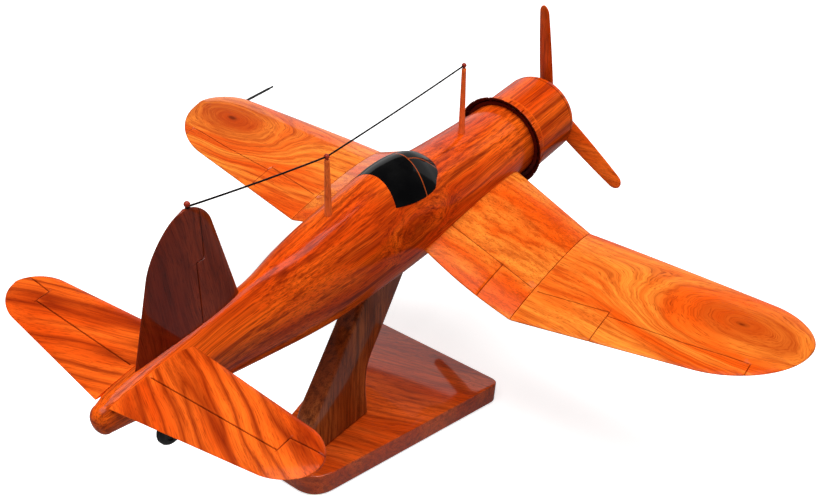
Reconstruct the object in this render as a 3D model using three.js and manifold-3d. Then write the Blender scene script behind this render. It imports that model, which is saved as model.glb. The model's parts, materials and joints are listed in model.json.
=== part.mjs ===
// A desk model of an inverted-gull-wing propeller aeroplane, carved in wood, on a carved stand.
// Millimetres, +Z up. The base rests on z = 0 with its centre at the origin. The nose points to -Y.
// The aeroplane is built in its own frame: thrust line along Y through z = 0, y = 0 at the rear rim of
// the cowl flaps, +X the port side. That frame sits nose-up above the stand.

import * as THREE from "three";
import { mergeVertices } from "three/addons/utils/BufferGeometryUtils.js";
import Module from "manifold-3d";

// ---------- driving dimensions ----------

const GAP = 0.3;                      // clearance between neighbouring pieces

const noseUp = THREE.MathUtils.degToRad(7);
const thrustAboveBase = 116.4;        // thrust line above the top of the base plate
const rimToCentre = -113;             // rear rim of the cowl flaps from the base centre, along Y

const base = {
  front: 62.6, rear: 62.6, frontHalf: 47, rearHalf: 17.5, thick: 12.6, frontRadius: 6.5, rearRadius: 12.5,
};
const felt = { thick: 1, inset: 4 };
const baseTop = felt.thick + base.thick;
const arm = { half: 5.9, topHeight: 98, edge: 1.6 };
const peg = { radius: 3, y: -3, bottom: 76, top: 106 };
const screw = { shank: 1.8, head: 4, headHeight: 3, length: 24, ys: [18, 42] };
const socketSpare = 1;                // the peg's socket in the belly is this much deeper than the peg

const cowl = { radius: 23.4, drop: 1.4, front: -46, rear: -9.6, lip: 5.5, openRadius: 16.5, recess: 9 };
const flaps = { rimRadius: 27, thick: 1, rebate: 1.6 };
const baffle = { front: -3, rear: -1.4, inner: 22 };
const fuselageNose = -9;

const wingFold = { x: 70.3, z: -25.3 };
const wingRoot = { x: 20.4, z: -8.4 };
const wingTip = { x: 196.2, y: 46, z: -16.6 };
const incidenceRise = 1.2;            // leading edge above trailing edge

const stab = { z: 23.4, leftTip: 87.6, rightTip: 85.2, tipY: 248.5, rootThick: 4, tipThick: 2.4 };
const fin = { rootThick: 4, tipThick: 2.4, rootZ: 20, topZ: 81 };
const dowels = {
  root: { radius: 2, y: 44, inner: 10, outer: 38, rise: 2 },
  fold: { radius: 1.3, y: 46, inner: 62, outer: 79, rise: 0.6 },
  stab: { radius: 1.1, y: 250, half: 18 },
  fin: { radius: 1.1, ys: [212, 236], bottom: 19.5, top: 36 },
};

const prop = {
  y: -53, radius: 64.7, rake: 5, pitch: 19, chord: 11.8, taper: 4.6, hubRadius: 6, shaft: 1.6, thick: 3,
};
const bladeAngles = [86.8, 212.3, 329.3];  // degrees from +X towards +Z, as the hand-fitted blades stand

const mast = { rootRadius: 1.75, tipRadius: 1.15, ball: 1.25, pinRadius: 0.4 };
const forwardMast = { foot: [0, 37.9, 23.7], top: [0, 36.4, 61.2] };
const aftMast = { foot: [0, 143.3, 33.3], top: [0, 141.2, 61.9] };
const finPin = { y: 218, z: 80.4 };
const wireRadius = 0.5;
const pitot = { x: 174.5, rootY: 25, tipY: 2.5, z: -17, radius: 0.8 };
const tailWheel = { y: 247.8, z: -13.4, radius: 6.4, half: 2.3, axle: 0.8, bore: 1.1 };

// Fuselage stations from nose to tail: distance aft, spine height, keel height,
// half width, height of the widest line, and the crown exponent (2 is round, less is roof-like).
const stations = [
  [fuselageNose, 21.2, -21.2, 21.2, 0, 2],
  [38, 24.8, -23.2, 21.7, 2.8, 2],
  [74, 29.6, -24.5, 21.6, 4.8, 2],
  [98, 37, -24.7, 21, 6, 2],
  [143, 34, -20.9, 19.6, 6, 2],
  [168, 31.2, -17.6, 16.8, 7.2, 2],
  [192, 29.2, -13, 12.7, 9.6, 1.6],
  [217, 28, -6.7, 10.3, 14.4, 1.6],
  [246, 27.4, 1.2, 8.4, 18, 1.6],
  [266, 25.8, 7.2, 6.2, 18.6, 2],
  [274, 23.4, 9.4, 5, 17.6, 2],
];
const tailEnd = 278.8;
const canopy = { front: 72.6, rear: 113.6, sill: 22.4, rearSill: 26.7 };

// ---------- solids ----------

const wasm = await Module();
wasm.setup();

// A closed geometry becomes a manifold-3d solid, ready for joins and cuts.
function solidOf(geometry) {
  const bare = geometry.index ? geometry.toNonIndexed() : geometry.clone();
  bare.deleteAttribute("normal");
  bare.deleteAttribute("uv");
  const merged = mergeVertices(bare, 1e-4);
  return new wasm.Manifold(new wasm.Mesh({
    numProp: 3,
    vertProperties: new Float32Array(merged.attributes.position.array),
    triVerts: new Uint32Array(merged.index.array),
  }));
}

function geometryOf(solid) {
  const mesh = solid.getMesh();
  const geometry = new THREE.BufferGeometry();
  geometry.setAttribute("position", new THREE.BufferAttribute(mesh.vertProperties, 3));
  geometry.setIndex(new THREE.BufferAttribute(mesh.triVerts, 1));
  const flat = geometry.toNonIndexed();
  flat.computeVertexNormals();
  return flat;
}

function cut(solid, ...tools) {
  return tools.reduce((rest, tool) => rest.subtract(tool), solid);
}

// Skins a list of closed loops (equal point counts) and closes both ends with fans.
function loft(loops) {
  const count = loops[0].length;
  const points = loops.flat();
  const faces = [];
  for (let i = 0; i < loops.length - 1; i++) {
    for (let j = 0; j < count; j++) {
      const a = i * count + j;
      const b = i * count + (j + 1) % count;
      faces.push([a, b, b + count], [a, b + count, a + count]);
    }
  }
  const middle = (loop) => loop.reduce((sum, p) => sum.add(p), new THREE.Vector3()).divideScalar(count);
  const last = (loops.length - 1) * count;
  const startHub = points.push(middle(loops[0])) - 1;
  const endHub = points.push(middle(loops[loops.length - 1])) - 1;
  for (let j = 0; j < count; j++) {
    faces.push([startHub, (j + 1) % count, j], [endHub, last + j, last + (j + 1) % count]);
  }
  const volume = faces.reduce((sum, [a, b, c]) =>
    sum + points[a].dot(new THREE.Vector3().crossVectors(points[b], points[c])), 0);
  const ordered = volume > 0 ? faces : faces.map(([a, b, c]) => [a, c, b]);
  const geometry = new THREE.BufferGeometry().setFromPoints(ordered.flat().map((i) => points[i]));
  return solidOf(geometry);
}

// A straight round rod between two points.
function rod(from, to, radius, endRadius = radius, segments = 12) {
  const start = new THREE.Vector3(...from);
  const end = new THREE.Vector3(...to);
  const axis = end.clone().sub(start);
  const geometry = new THREE.CylinderGeometry(endRadius, radius, axis.length(), segments);
  const up = new THREE.Vector3(0, 1, 0);
  const turn = new THREE.Quaternion().setFromUnitVectors(up, axis.clone().normalize());
  geometry.applyQuaternion(turn);
  geometry.translate(...start.add(end).multiplyScalar(0.5).toArray());
  return solidOf(geometry);
}

// Turns an [r, along] profile about the thrust line (Y).
function turned(profile, segments = 36) {
  const points = profile.map(([r, y]) => new THREE.Vector2(r, y));
  if (THREE.ShapeUtils.area(points) < 0) {
    points.reverse();
  }
  return solidOf(new THREE.LatheGeometry(points, segments));
}

// Extrudes a shape drawn in the Y-Z plane across X, centred on x = 0.
function sidePlate(shape, half, bevel = 0, curveSegments = 8) {
  const geometry = new THREE.ExtrudeGeometry(shape, {
    depth: 2 * (half - bevel), curveSegments, bevelEnabled: bevel > 0,
    bevelThickness: bevel, bevelSize: bevel, bevelOffset: -bevel, bevelSegments: 2,
  });
  geometry.translate(0, 0, -(half - bevel));
  const toYZ = new THREE.Matrix4().makeBasis(
    new THREE.Vector3(0, 1, 0), new THREE.Vector3(0, 0, 1), new THREE.Vector3(1, 0, 0));
  geometry.applyMatrix4(toYZ);
  return solidOf(geometry);
}

function mix(a, b, t) {
  return a + (b - a) * t;
}

// ---------- fuselage ----------

function fuselageSection(y, top, keel, half, centre, crown, grow, segments = 32) {
  return Array.from({ length: segments }, (_, i) => {
    const angle = 2 * Math.PI * i / segments;
    const side = Math.cos(angle);
    const rise = Math.sin(angle);
    const power = rise > 0 ? 2 / crown : 1;
    const height = rise > 0 ? top + grow - centre : centre - keel + grow;
    return new THREE.Vector3(
      (half + grow) * Math.sign(side) * Math.abs(side) ** power,
      y,
      centre + height * Math.sign(rise) * Math.abs(rise) ** power);
  });
}

const sideCurve = new THREE.CatmullRomCurve3(
  stations.map(([y, top, keel]) => new THREE.Vector3(y, top, keel)), false, "catmullrom", 0.5);
const girthCurve = new THREE.CatmullRomCurve3(
  stations.map(([, , , half, centre, crown]) => new THREE.Vector3(half, centre, crown)), false, "catmullrom", 0.5);

// The fuselage's smoothed measures at a share t of the way through the stations.
function measuresAt(t) {
  const side = sideCurve.getPoint(t);
  const girth = girthCurve.getPoint(t);
  return { y: side.x, top: side.y, keel: side.z, half: girth.x, centre: girth.y, crown: girth.z };
}

// The same measures at a distance y aft, found by halving the interval.
function measuresAtY(y) {
  let [low, high] = [0, 1];
  for (let i = 0; i < 24; i++) {
    const middle = (low + high) / 2;
    [low, high] = measuresAt(middle).y < y ? [middle, high] : [low, middle];
  }
  return measuresAt(low);
}

// The fuselage body; grow inflates it, to cut its neighbours with a clearance.
function fuselageBody(grow = 0) {
  const steps = 3 * (stations.length - 1);
  const loops = [];
  for (let i = 0; i <= steps; i++) {
    const { y, top, keel, half, centre, crown } = measuresAt(i / steps);
    loops.push(fuselageSection(y, top, keel, half, centre, crown, grow));
  }
  const last = measuresAt(1);
  for (const u of [0.5, 0.8, 0.95]) {
    const shrink = Math.sqrt(1 - u * u);
    loops.push(fuselageSection(mix(last.y, tailEnd + grow, u), last.centre + (last.top - last.centre) * shrink,
      last.centre - (last.centre - last.keel) * shrink, last.half * shrink, last.centre, 2, grow * shrink));
  }
  return loft(loops);
}

// The side view of the canopy block: a rounded windscreen foot, a sill that rises aft, a raked rear face.
function canopyProfile(grow = 0) {
  const { front, rear, sill, rearSill } = canopy;
  const clearOfTop = 50;
  const shape = new THREE.Shape();
  shape.moveTo(rear + grow, rearSill - grow);
  shape.lineTo(rear + grow - (clearOfTop - rearSill) / 3, clearOfTop);
  shape.lineTo(front - grow, clearOfTop);
  shape.lineTo(front - grow, sill + 6);
  shape.quadraticCurveTo(front - grow, sill + 1.2 - grow, front + 12.4, sill - grow);
  shape.quadraticCurveTo(front + 25, sill - 0.4 - grow, rear + grow, rearSill - grow);
  return shape;
}

// The canopy's outer skin: the fuselage's own girth under a taller crown, steep at the windscreen.
function canopySkin() {
  const proud = 0.25;
  const belly = canopy.sill - 8;
  const crowns = [[-1, 28, 1.9], [0, 29.4, 1.8], [3, 31.9, 1.7], [7, 34.6, 1.66], [12, 36.6, 1.75],
    [19, 37.5, 1.9], [28, 37.6, 2], [36, 37.1, 2], [43, 36.4, 2]];
  return loft(crowns.map(([step, crown, roundness]) => {
    const y = canopy.front + step;
    const { half, centre } = measuresAtY(y);
    return fuselageSection(y, crown, belly, half + proud, centre, roundness, 0);
  }));
}

// ---------- wings and tail ----------

// A closed aerofoil loop: y runs from leading to trailing edge, rounded at both.
function aerofoil(place, lead, trail, thick, half = 9) {
  const loop = [];
  for (let i = 0; i < 2 * half; i++) {
    const angle = Math.PI * i / half;
    const along = (1 - Math.cos(angle)) / 2;
    const fullness = 2.35 * Math.sqrt(along) * (1 - along) + 0.42 * (along * (1 - along)) ** 0.25;
    const side = Math.sin(angle) >= 0 ? 1 : -0.75;
    const bulge = i % half === 0 ? 0 : side * thick / 2 * fullness;
    loop.push(place(mix(lead, trail, along), bulge));
  }
  return loop;
}

// How far a rounded tip has closed at x: 0 inboard of start, 1 at the tip.
function tipClosing(x, start, tip) {
  const u = Math.max(0, (x - start) / (tip - start));
  return 1 - Math.sqrt(Math.max(0, 1 - u * u));
}

function outerWingAt(x) {
  const out = (x - wingFold.x) / (wingTip.x - wingFold.x);
  const lead = 18 + 9.8 * Math.max(0, out) ** 1.2;
  const trail = 98.4 - 0.154 * (x - wingFold.x);
  return {
    lead: mix(lead, wingTip.y, tipClosing(x, 172, wingTip.x)),
    trail: mix(trail, wingTip.y, tipClosing(x, 156, wingTip.x)),
    z: wingFold.z + (wingTip.z - wingFold.z) * out,
    thick: mix(9, 5.2, out) * (1 - 0.72 * tipClosing(x, 165, wingTip.x)),
  };
}

function innerWingAt(x) {
  const out = (x - wingRoot.x) / (wingFold.x - wingRoot.x);
  return {
    lead: mix(12, 18, out),
    trail: mix(96.4, 98.4, out) + 1.6 * Math.sin(Math.PI * Math.max(0, out)),
    z: mix(wingRoot.z, wingFold.z, out),
    thick: mix(11, 9, out),
  };
}

function wingPanel(at, xs, side) {
  return loft(xs.map((x) => {
    const { lead, trail, z, thick } = at(x);
    const lift = (y) => incidenceRise * (trail - y) / 80;
    return aerofoil((y, bulge) => new THREE.Vector3(side * x, y, z + lift(y) + bulge), lead, trail, thick);
  }));
}

function tipStations(from, start, tip) {
  const inboard = [0, 0.25, 0.5, 0.75, 1].map((t) => mix(from, start, t));
  const round = [0.3, 0.55, 0.74, 0.88, 0.965, 0.995].map((t) => mix(start, tip, t));
  return [...inboard, ...round];
}

function stabiliserPanel(side, tipX) {
  const at = (x) => {
    const out = x / tipX;
    const lead = mix(231, 237, out);
    const trail = mix(273.5, 260.5, out);
    return {
      lead: mix(lead, stab.tipY, tipClosing(x, 71, tipX)),
      trail: mix(trail, stab.tipY, tipClosing(x, 69, tipX)),
      thick: mix(stab.rootThick, stab.tipThick, out) * (1 - 0.6 * tipClosing(x, 71, tipX)),
    };
  };
  return loft(tipStations(2, 70, tipX).map((x) => {
    const { lead, trail, thick } = at(x);
    return aerofoil((y, bulge) => new THREE.Vector3(side * x, y, stab.z + bulge), lead, trail, thick);
  }));
}

// The fin stands on the spine; its sections lie level and shrink to a rounded top.
function finPanel() {
  const heights = [0, 0.2, 0.4, 0.6, 0.74, 0.84, 0.91, 0.96, 0.99].map((t) => mix(fin.rootZ, fin.topZ, t));
  const peakY = 220;
  return loft(heights.map((z) => {
    const up = (z - fin.rootZ) / (fin.topZ - fin.rootZ);
    const lead = mix(199.5, 210, up);
    const trail = mix(259, 235.5, up);
    const round = tipClosing(z, 62, fin.topZ);
    const lean = mix(lead, peakY, tipClosing(z, 70, fin.topZ));
    const thick = mix(fin.rootThick, fin.tipThick, up) * (1 - 0.5 * round);
    return aerofoil((y, bulge) => new THREE.Vector3(bulge, y, z), lean, mix(trail, peakY, round), thick);
  }));
}

// ---------- pieces ----------

const aeroplane = new THREE.Group();
aeroplane.rotation.x = -noseUp;
aeroplane.position.set(0, rimToCentre, baseTop + thrustAboveBase);
const stand = new THREE.Group();
const model = new THREE.Group();
model.add(stand, aeroplane);

const finishes = {
  redwood: { color: 0xc2410c, roughness: 0.22 },
  goldwood: { color: 0xd9741a, roughness: 0.22 },
  darkwood: { color: 0x5a2312, roughness: 0.25 },
  maroon: { color: 0x2c0d0a, roughness: 0.3 },
  black: { color: 0x0c0c0e, roughness: 0.15 },
  red: { color: 0xb8321f, roughness: 0.3 },
  wire: { color: 0x111111, roughness: 0.5 },
  steel: { color: 0xb9bcc0, roughness: 0.35, metalness: 1 },
  birch: { color: 0xd9b583, roughness: 0.6 },
  felt: { color: 0x1f3a26, roughness: 0.95 },
};

function add(group, name, solid, finish) {
  const mesh = new THREE.Mesh(geometryOf(solid), new THREE.MeshStandardMaterial(finishes[finish]));
  mesh.name = name;
  group.add(mesh);
}

// Row coordinates of a stand piece turned into the aeroplane's own frame, for cuts across the two.
function toAeroplane(solid) {
  aeroplane.updateMatrixWorld(true);
  return solid.transform([...aeroplane.matrixWorld.clone().invert().elements]);
}

function toRow(solid) {
  aeroplane.updateMatrixWorld(true);
  return solid.transform([...aeroplane.matrixWorld.elements]);
}

// A trapezoid with rounded corners, wide end to the nose.
function baseOutline(inset) {
  const corners = [
    [-(base.frontHalf - inset), -(base.front - inset), base.frontRadius],
    [base.frontHalf - inset, -(base.front - inset), base.frontRadius],
    [base.rearHalf - inset, base.rear - inset, base.rearRadius],
    [-(base.rearHalf - inset), base.rear - inset, base.rearRadius],
  ].map(([x, y, r]) => ({ at: new THREE.Vector2(x, y), r }));
  const shape = new THREE.Shape();
  corners.forEach(({ at, r }, i) => {
    const previous = corners[(i + 3) % 4].at;
    const next = corners[(i + 1) % 4].at;
    const enter = at.clone().add(previous.clone().sub(at).setLength(r));
    const leave = at.clone().add(next.clone().sub(at).setLength(r));
    if (i === 0) {
      shape.moveTo(enter.x, enter.y);
    } else {
      shape.lineTo(enter.x, enter.y);
    }
    shape.quadraticCurveTo(at.x, at.y, leave.x, leave.y);
  });
  return shape;
}

function slab(shape, bottom, top) {
  const settings = { depth: top - bottom, bevelEnabled: false, curveSegments: 8 };
  const geometry = new THREE.ExtrudeGeometry(shape, settings);
  geometry.translate(0, 0, bottom);
  return solidOf(geometry);
}

// A countersunk wood screw driven up from below, head down; grow gives its clearance hole.
function screwSolid(y, grow = 0) {
  const { shank, head, headHeight, length } = screw;
  const foot = felt.thick - grow;
  const profile = [[0, foot + 0.4], [head + grow, foot + 0.4], [shank + grow, foot + 0.4 + headHeight],
    [shank + grow, foot + length - 3 + grow], [0.3 + grow, foot + length + 2 * grow], [0, foot + length + 2 * grow]];
  const solid = turned(profile, 16);
  return solid.rotate([90, 0, 0]).translate([0, y, 0]);
}

// The arm's side view: a slanted post that leans forward to the belly and stands on a broad foot.
function armShape() {
  const shape = new THREE.Shape();
  shape.moveTo(5.5, baseTop);
  shape.lineTo(54, baseTop);
  shape.quadraticCurveTo(52.5, 32, 45, 42);
  shape.quadraticCurveTo(34, 57, 6, arm.topHeight);
  shape.lineTo(-24.5, arm.topHeight);
  shape.lineTo(4, 53);
  shape.quadraticCurveTo(9, 45, 7.5, 30);
  return shape;
}

function buildStand(fuselageCutter) {
  const holes = screw.ys.map((y) => screwSolid(y, GAP));
  const plate = slab(baseOutline(0), felt.thick, baseTop);
  const pegSolid = rod([0, peg.y, peg.bottom], [0, peg.y, peg.top], peg.radius);
  const pegHole = rod([0, peg.y, peg.bottom - GAP], [0, peg.y, peg.top + 20], peg.radius + GAP);
  const post = sidePlate(armShape(), arm.half, arm.edge);
  const aboveBase = solidOf(new THREE.BoxGeometry(60, 200, 160).translate(0, 0, baseTop + 80));
  add(stand, "felt_pad", slab(baseOutline(felt.inset), 0, felt.thick), "felt");
  add(stand, "base_plate", cut(plate, ...holes), "redwood");
  add(stand, "stand_arm", cut(post.intersect(aboveBase), toRow(fuselageCutter), pegHole, ...holes), "darkwood");
  add(stand, "mounting_peg", pegSolid, "birch");
  screw.ys.forEach((y, i) => add(stand, `base_screw_${i + 1}`, screwSolid(y), "steel"));
}

function buildCowl() {
  const { radius, front, rear, lip, openRadius, recess, drop } = cowl;
  const lipArc = [0, 1, 2, 3, 4, 5].map((i) => {
    const angle = Math.PI / 2 * i / 5;
    return [radius - lip * (1 - Math.cos(angle)), front + lip * (1 - Math.sin(angle))];
  });
  const shell = turned([
    [0, rear], [radius, rear], ...lipArc, [openRadius + 0.6, front + 0.6], [openRadius, front + 2],
    [openRadius, front + recess], [0, front + recess],
  ]).translate([0, 0, -drop]);
  const shaftBore = rod([0, -14, -drop], [0, front, -drop], prop.shaft + GAP);
  add(aeroplane, "cowling", cut(shell, shaftBore), "redwood");

  const { rimRadius, thick, rebate } = flaps;
  const start = rear + GAP;
  const ring = turned([
    [radius - rebate, start], [radius, start], [radius, -4.6], [radius + 0.7, -3], [radius + 2, -1.4],
    [rimRadius, -0.3], [rimRadius, 0], [rimRadius - thick, 0], [radius + 1.1, -1.7], [radius - 0.3, -3.4],
    [radius - 1, -5], [radius - rebate, start],
  ]);
  add(aeroplane, "cowl_flap_ring", ring, "redwood");
  const seat = turned([
    [baffle.inner, baffle.front], [radius - 0.4, baffle.front], [radius + 0.9, baffle.rear],
    [baffle.inner, baffle.rear], [baffle.inner, baffle.front],
  ]);
  add(aeroplane, "cowl_baffle", seat, "maroon");
  buildEngine();
}

// The engine face fills the cowl's recess: a disc, nine cylinder ribs and a crankcase dome.
function buildEngine() {
  const { front, recess, openRadius, drop } = cowl;
  const back = front + recess - GAP;
  const disc = turned([
    [0, back], [openRadius - GAP, back], [openRadius - GAP, back - 1.6], [7.5, back - 1.6],
    [6.8, back - 4.2], [4.4, back - 6.4], [0, back - 6.4],
  ], 36).translate([0, 0, -drop]);
  let face = disc;
  for (let i = 0; i < 9; i++) {
    const angle = 2 * Math.PI * i / 9;
    const spot = (r) => [r * Math.cos(angle), back - 2, -drop + r * Math.sin(angle)];
    face = face.add(rod(spot(6), spot(openRadius - 1.2), 2.1, 2.1, 10));
  }
  const bore = rod([0, back + 1, -drop], [0, front - 8, -drop], prop.shaft + GAP);
  add(aeroplane, "engine_face", cut(face, bore), "black");
}

function buildFuselage() {
  const notch = sidePlate(canopyProfile(GAP), 40);
  const socket = toAeroplane(rod([0, peg.y, 70], [0, peg.y, peg.top + socketSpare], peg.radius + GAP));
  const dowelHoles = [...rootDowels(GAP), ...finDowels(GAP), stabDowel(GAP), ...mastHoles(), strutTenon(GAP)];
  add(aeroplane, "fuselage", cut(fuselageBody(), notch, socket, ...dowelHoles), "redwood");
  add(aeroplane, "canopy", canopySkin().intersect(sidePlate(canopyProfile(), 40)), "black");
}

function rootDowels(grow = 0) {
  const { radius, y, inner, outer, rise } = dowels.root;
  const level = (x) => innerWingAt(x).z + rise;
  const pointAt = (x, side) => [side * x, y, level(x)];
  return [1, -1].map((side) => rod(pointAt(inner, side), pointAt(outer, side), radius + grow));
}

function foldDowels(grow = 0) {
  const { radius, y, inner, outer, rise } = dowels.fold;
  const start = innerWingAt(inner).z + rise;
  const end = outerWingAt(outer).z + rise;
  return [1, -1].map((side) => rod([side * inner, y, start], [side * outer, y, end], radius + grow));
}

function stabDowel(grow = 0) {
  const { radius, y, half } = dowels.stab;
  return rod([-half, y, stab.z], [half, y, stab.z], radius + grow);
}

function finDowels(grow = 0) {
  const { radius, ys, bottom, top } = dowels.fin;
  return ys.map((y) => rod([0, y, bottom], [0, y, top], radius + grow));
}

function buildWings(fuselageCutter) {
  const root = rootDowels();
  const fold = foldDowels();
  const innerXs = [6, 20, 32, 45, 58, wingFold.x - GAP / 2];
  const outerXs = tipStations(wingFold.x + GAP / 2, 158, wingTip.x);
  [["left", 1], ["right", -1]].forEach(([name, side], i) => {
    const [rootHole, foldHole] = [rootDowels(GAP)[i], foldDowels(GAP)[i]];
    const inner = cut(wingPanel(innerWingAt, innerXs, side), fuselageCutter, rootHole, foldHole);
    const outer = cut(wingPanel(outerWingAt, outerXs, side), foldHole, pitotTube(GAP));
    add(aeroplane, `${name}_inner_wing`, inner, "goldwood");
    add(aeroplane, `${name}_outer_wing`, outer, "goldwood");
    add(aeroplane, `${name}_root_dowel`, root[i], "birch");
    add(aeroplane, `${name}_fold_dowel`, fold[i], "birch");
  });
  add(aeroplane, "pitot_tube", pitotTube(), "wire");
}

function pitotTube(grow = 0) {
  const { x, rootY, tipY, z, radius } = pitot;
  return rod([x, rootY + 6, z], [x - 1, tipY - grow, z - 0.2], radius + grow, radius + grow, 12);
}

function buildTail(fuselageCutter) {
  const pinHole = rod([0, finPin.y, finPin.z - 6], [0, finPin.y, finPin.z + 6], mast.pinRadius + 0.2);
  add(aeroplane, "fin", cut(finPanel(), fuselageCutter, pinHole, ...finDowels(GAP)), "darkwood");
  finDowels().forEach((dowel, i) => add(aeroplane, `fin_dowel_${i + 1}`, dowel, "birch"));
  [["left", 1, stab.leftTip], ["right", -1, stab.rightTip]].forEach(([name, side, tipX]) => {
    const panel = stabiliserPanel(side, tipX);
    add(aeroplane, `${name}_stabilizer`, cut(panel, fuselageCutter, stabDowel(GAP)), "redwood");
  });
  add(aeroplane, "stabilizer_dowel", stabDowel(), "birch");
}

function mastHoles() {
  return [forwardMast, aftMast].map(({ foot, top }) => {
    const deep = new THREE.Vector3(...foot).lerp(new THREE.Vector3(...top), -0.12);
    return rod(deep.toArray(), top, mast.rootRadius + GAP);
  });
}

// A ball-headed pin standing on a mast or on the fin.
function ballPin([x, y, z]) {
  const { ball, pinRadius } = mast;
  const sphere = new THREE.SphereGeometry(ball, 12, 8).rotateX(Math.PI / 2);
  const head = solidOf(sphere.translate(x, y, z + ball + GAP));
  return head.add(rod([x, y, z - 4], [x, y, z + ball + GAP], pinRadius, pinRadius, 10));
}

function buildAerial() {
  const masts = [["forward", forwardMast], ["aft", aftMast]];
  for (const [name, { foot, top }] of masts) {
    const deep = new THREE.Vector3(...foot).lerp(new THREE.Vector3(...top), -0.1).toArray();
    const post = rod(deep, top, mast.rootRadius, mast.tipRadius);
    const [x, y, z] = top;
    const bore = mast.pinRadius + 0.2;
    const hole = rod([x, y, z - 5], [x, y, z + 1], bore, bore, 10);
    add(aeroplane, `${name}_mast`, cut(post, hole), "redwood");
    add(aeroplane, `${name}_mast_pin`, ballPin(top), "red");
  }
  const crest = [0, finPin.y, finPin.z + 0.6];
  add(aeroplane, "fin_pin", ballPin(crest), "red");
  const reach = mast.pinRadius + wireRadius + GAP;
  const tieHeight = 1.5;
  const finTie = { y: crest[1], z: crest[2] + wireRadius + GAP };
  const ties = [...[forwardMast.top, aftMast.top].map(([, y, z]) => ({ y, z: z + tieHeight })), finTie];
  [["front", ties[0], ties[1]], ["rear", ties[1], ties[2]]].forEach(([name, from, to]) => {
    const wire = rod([0, from.y + reach, from.z], [0, to.y - reach, to.z], wireRadius, wireRadius, 8);
    add(aeroplane, `aerial_wire_${name}`, wire, "wire");
  });
}

function strutTenon(grow = 0) {
  return rod([0, tailWheel.y - 4, -2], [0, tailWheel.y - 4, 10], 1.8 + grow);
}

// A fork that hangs from the tail and straddles the wheel.
function buildTailWheel(fuselageCutter) {
  const { y, z, radius, half, axle, bore } = tailWheel;
  const side = new THREE.Shape();
  side.moveTo(y - 2.4, z - 1.6);
  side.quadraticCurveTo(y, z - 3, y + 2, z - 1.4);
  side.lineTo(y + 1.4, 3);
  side.lineTo(y - 9, 3);
  const fork = sidePlate(side, half + 2.2, 0, 4);
  const slot = rod([-(half + 0.7), y, z], [half + 0.7, y, z], radius + 1.2, radius + 1.2, 24);
  const pinHole = rod([-20, y, z], [20, y, z], axle + 0.2, axle + 0.2, 12);
  const strut = cut(fork, fuselageCutter, slot, pinHole).add(strutTenon());
  add(aeroplane, "tail_wheel_fork", strut, "black");
  add(aeroplane, "tail_wheel_axle", rod([-(half + 2.4), y, z], [half + 2.4, y, z], axle, axle, 12), "steel");
  const tyre = turned([
    [bore, -half], [radius - 1.6, -half], [radius - 0.4, -half + 0.9], [radius, 0],
    [radius - 0.4, half - 0.9], [radius - 1.6, half], [bore, half], [bore, -half],
  ], 28);
  add(aeroplane, "tail_wheel", tyre.rotate([0, 0, 90]).translate([0, y, z]), "black");
}

// A tapered blade that runs out from the hub along its own angle and rakes back a little.
function blade(degrees) {
  const angle = THREE.MathUtils.degToRad(degrees);
  const pitch = THREE.MathUtils.degToRad(prop.pitch);
  const outward = new THREE.Vector3(Math.cos(angle), 0, Math.sin(angle));
  const across = new THREE.Vector3(Math.sin(angle), 0, -Math.cos(angle));
  const reach = [0.1, 0.2, 0.3, 0.45, 0.6, 0.75, 0.87, 0.94, 0.975, 0.995];
  return loft(reach.map((t) => {
    const shank = Math.min(1, 0.5 + 2 * t);
    const tip = Math.sqrt(1 - Math.max(0, (t - 0.93) / 0.07) ** 2);
    const chord = (prop.chord - prop.taper * t ** 2.2) * shank * tip;
    const thick = mix(prop.thick, 1.3, t);
    return Array.from({ length: 14 }, (_, i) => {
      const turn = 2 * Math.PI * i / 14;
      const u = chord / 2 * Math.cos(turn);
      const v = thick / 2 * Math.sin(turn);
      return outward.clone().multiplyScalar(t * prop.radius)
        .addScaledVector(across, u * Math.cos(pitch) - v * Math.sin(pitch))
        .add(new THREE.Vector3(0, prop.y + prop.rake * t - u * Math.sin(pitch) - v * Math.cos(pitch), -cowl.drop));
    });
  }));
}

function buildPropeller() {
  const { y, hubRadius, shaft } = prop;
  const rear = y + 5;
  const nose = y - 4.4;
  const onAxis = (solid) => solid.translate([0, 0, -cowl.drop]);
  const hub = turned([
    [0, nose], [hubRadius - 1, nose], [hubRadius, nose + 1], [hubRadius, rear - 0.6], [hubRadius - 0.8, rear], [0, rear],
  ], 32);
  const bore = rod([0, nose - 1, 0], [0, rear + 1, 0], shaft + GAP);
  add(aeroplane, "propeller_hub", onAxis(cut(hub, bore)), "darkwood");
  bladeAngles.forEach((degrees, i) => add(aeroplane, `propeller_blade_${i + 1}`, blade(degrees), "redwood"));
  const capEnd = nose - GAP;
  const cap = turned([[0, capEnd - 5.4], [1.6, capEnd - 5], [3, capEnd - 3.4], [3.8, capEnd], [0, capEnd]], 24);
  const shaftRod = rod([0, capEnd - 1, 0], [0, cowl.front + cowl.recess + 5, 0], shaft);
  add(aeroplane, "propeller_shaft", onAxis(cap.add(shaftRod)), "steel");
}

const fuselageCutter = fuselageBody(GAP);
buildStand(fuselageCutter);
buildFuselage();
buildCowl();
buildWings(fuselageCutter);
buildTail(fuselageCutter);
buildAerial();
buildTailWheel(fuselageCutter);
buildPropeller();

export default model;
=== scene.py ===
"""The looks of the desk model aeroplane: carved, stained and lacquered wood on a carved stand.

Shapes are drawn in millimetres. Aeroplane pieces use the aeroplane's own frame: thrust line along Y through
z = 0, y = 0 at the rear rim of the cowl flaps, nose to -Y, port to +X. Stand pieces use the row frame.
"""

import json
import math
from types import SimpleNamespace

import bmesh
import bpy
import numpy as np
from mathutils import Matrix, Vector


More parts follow.
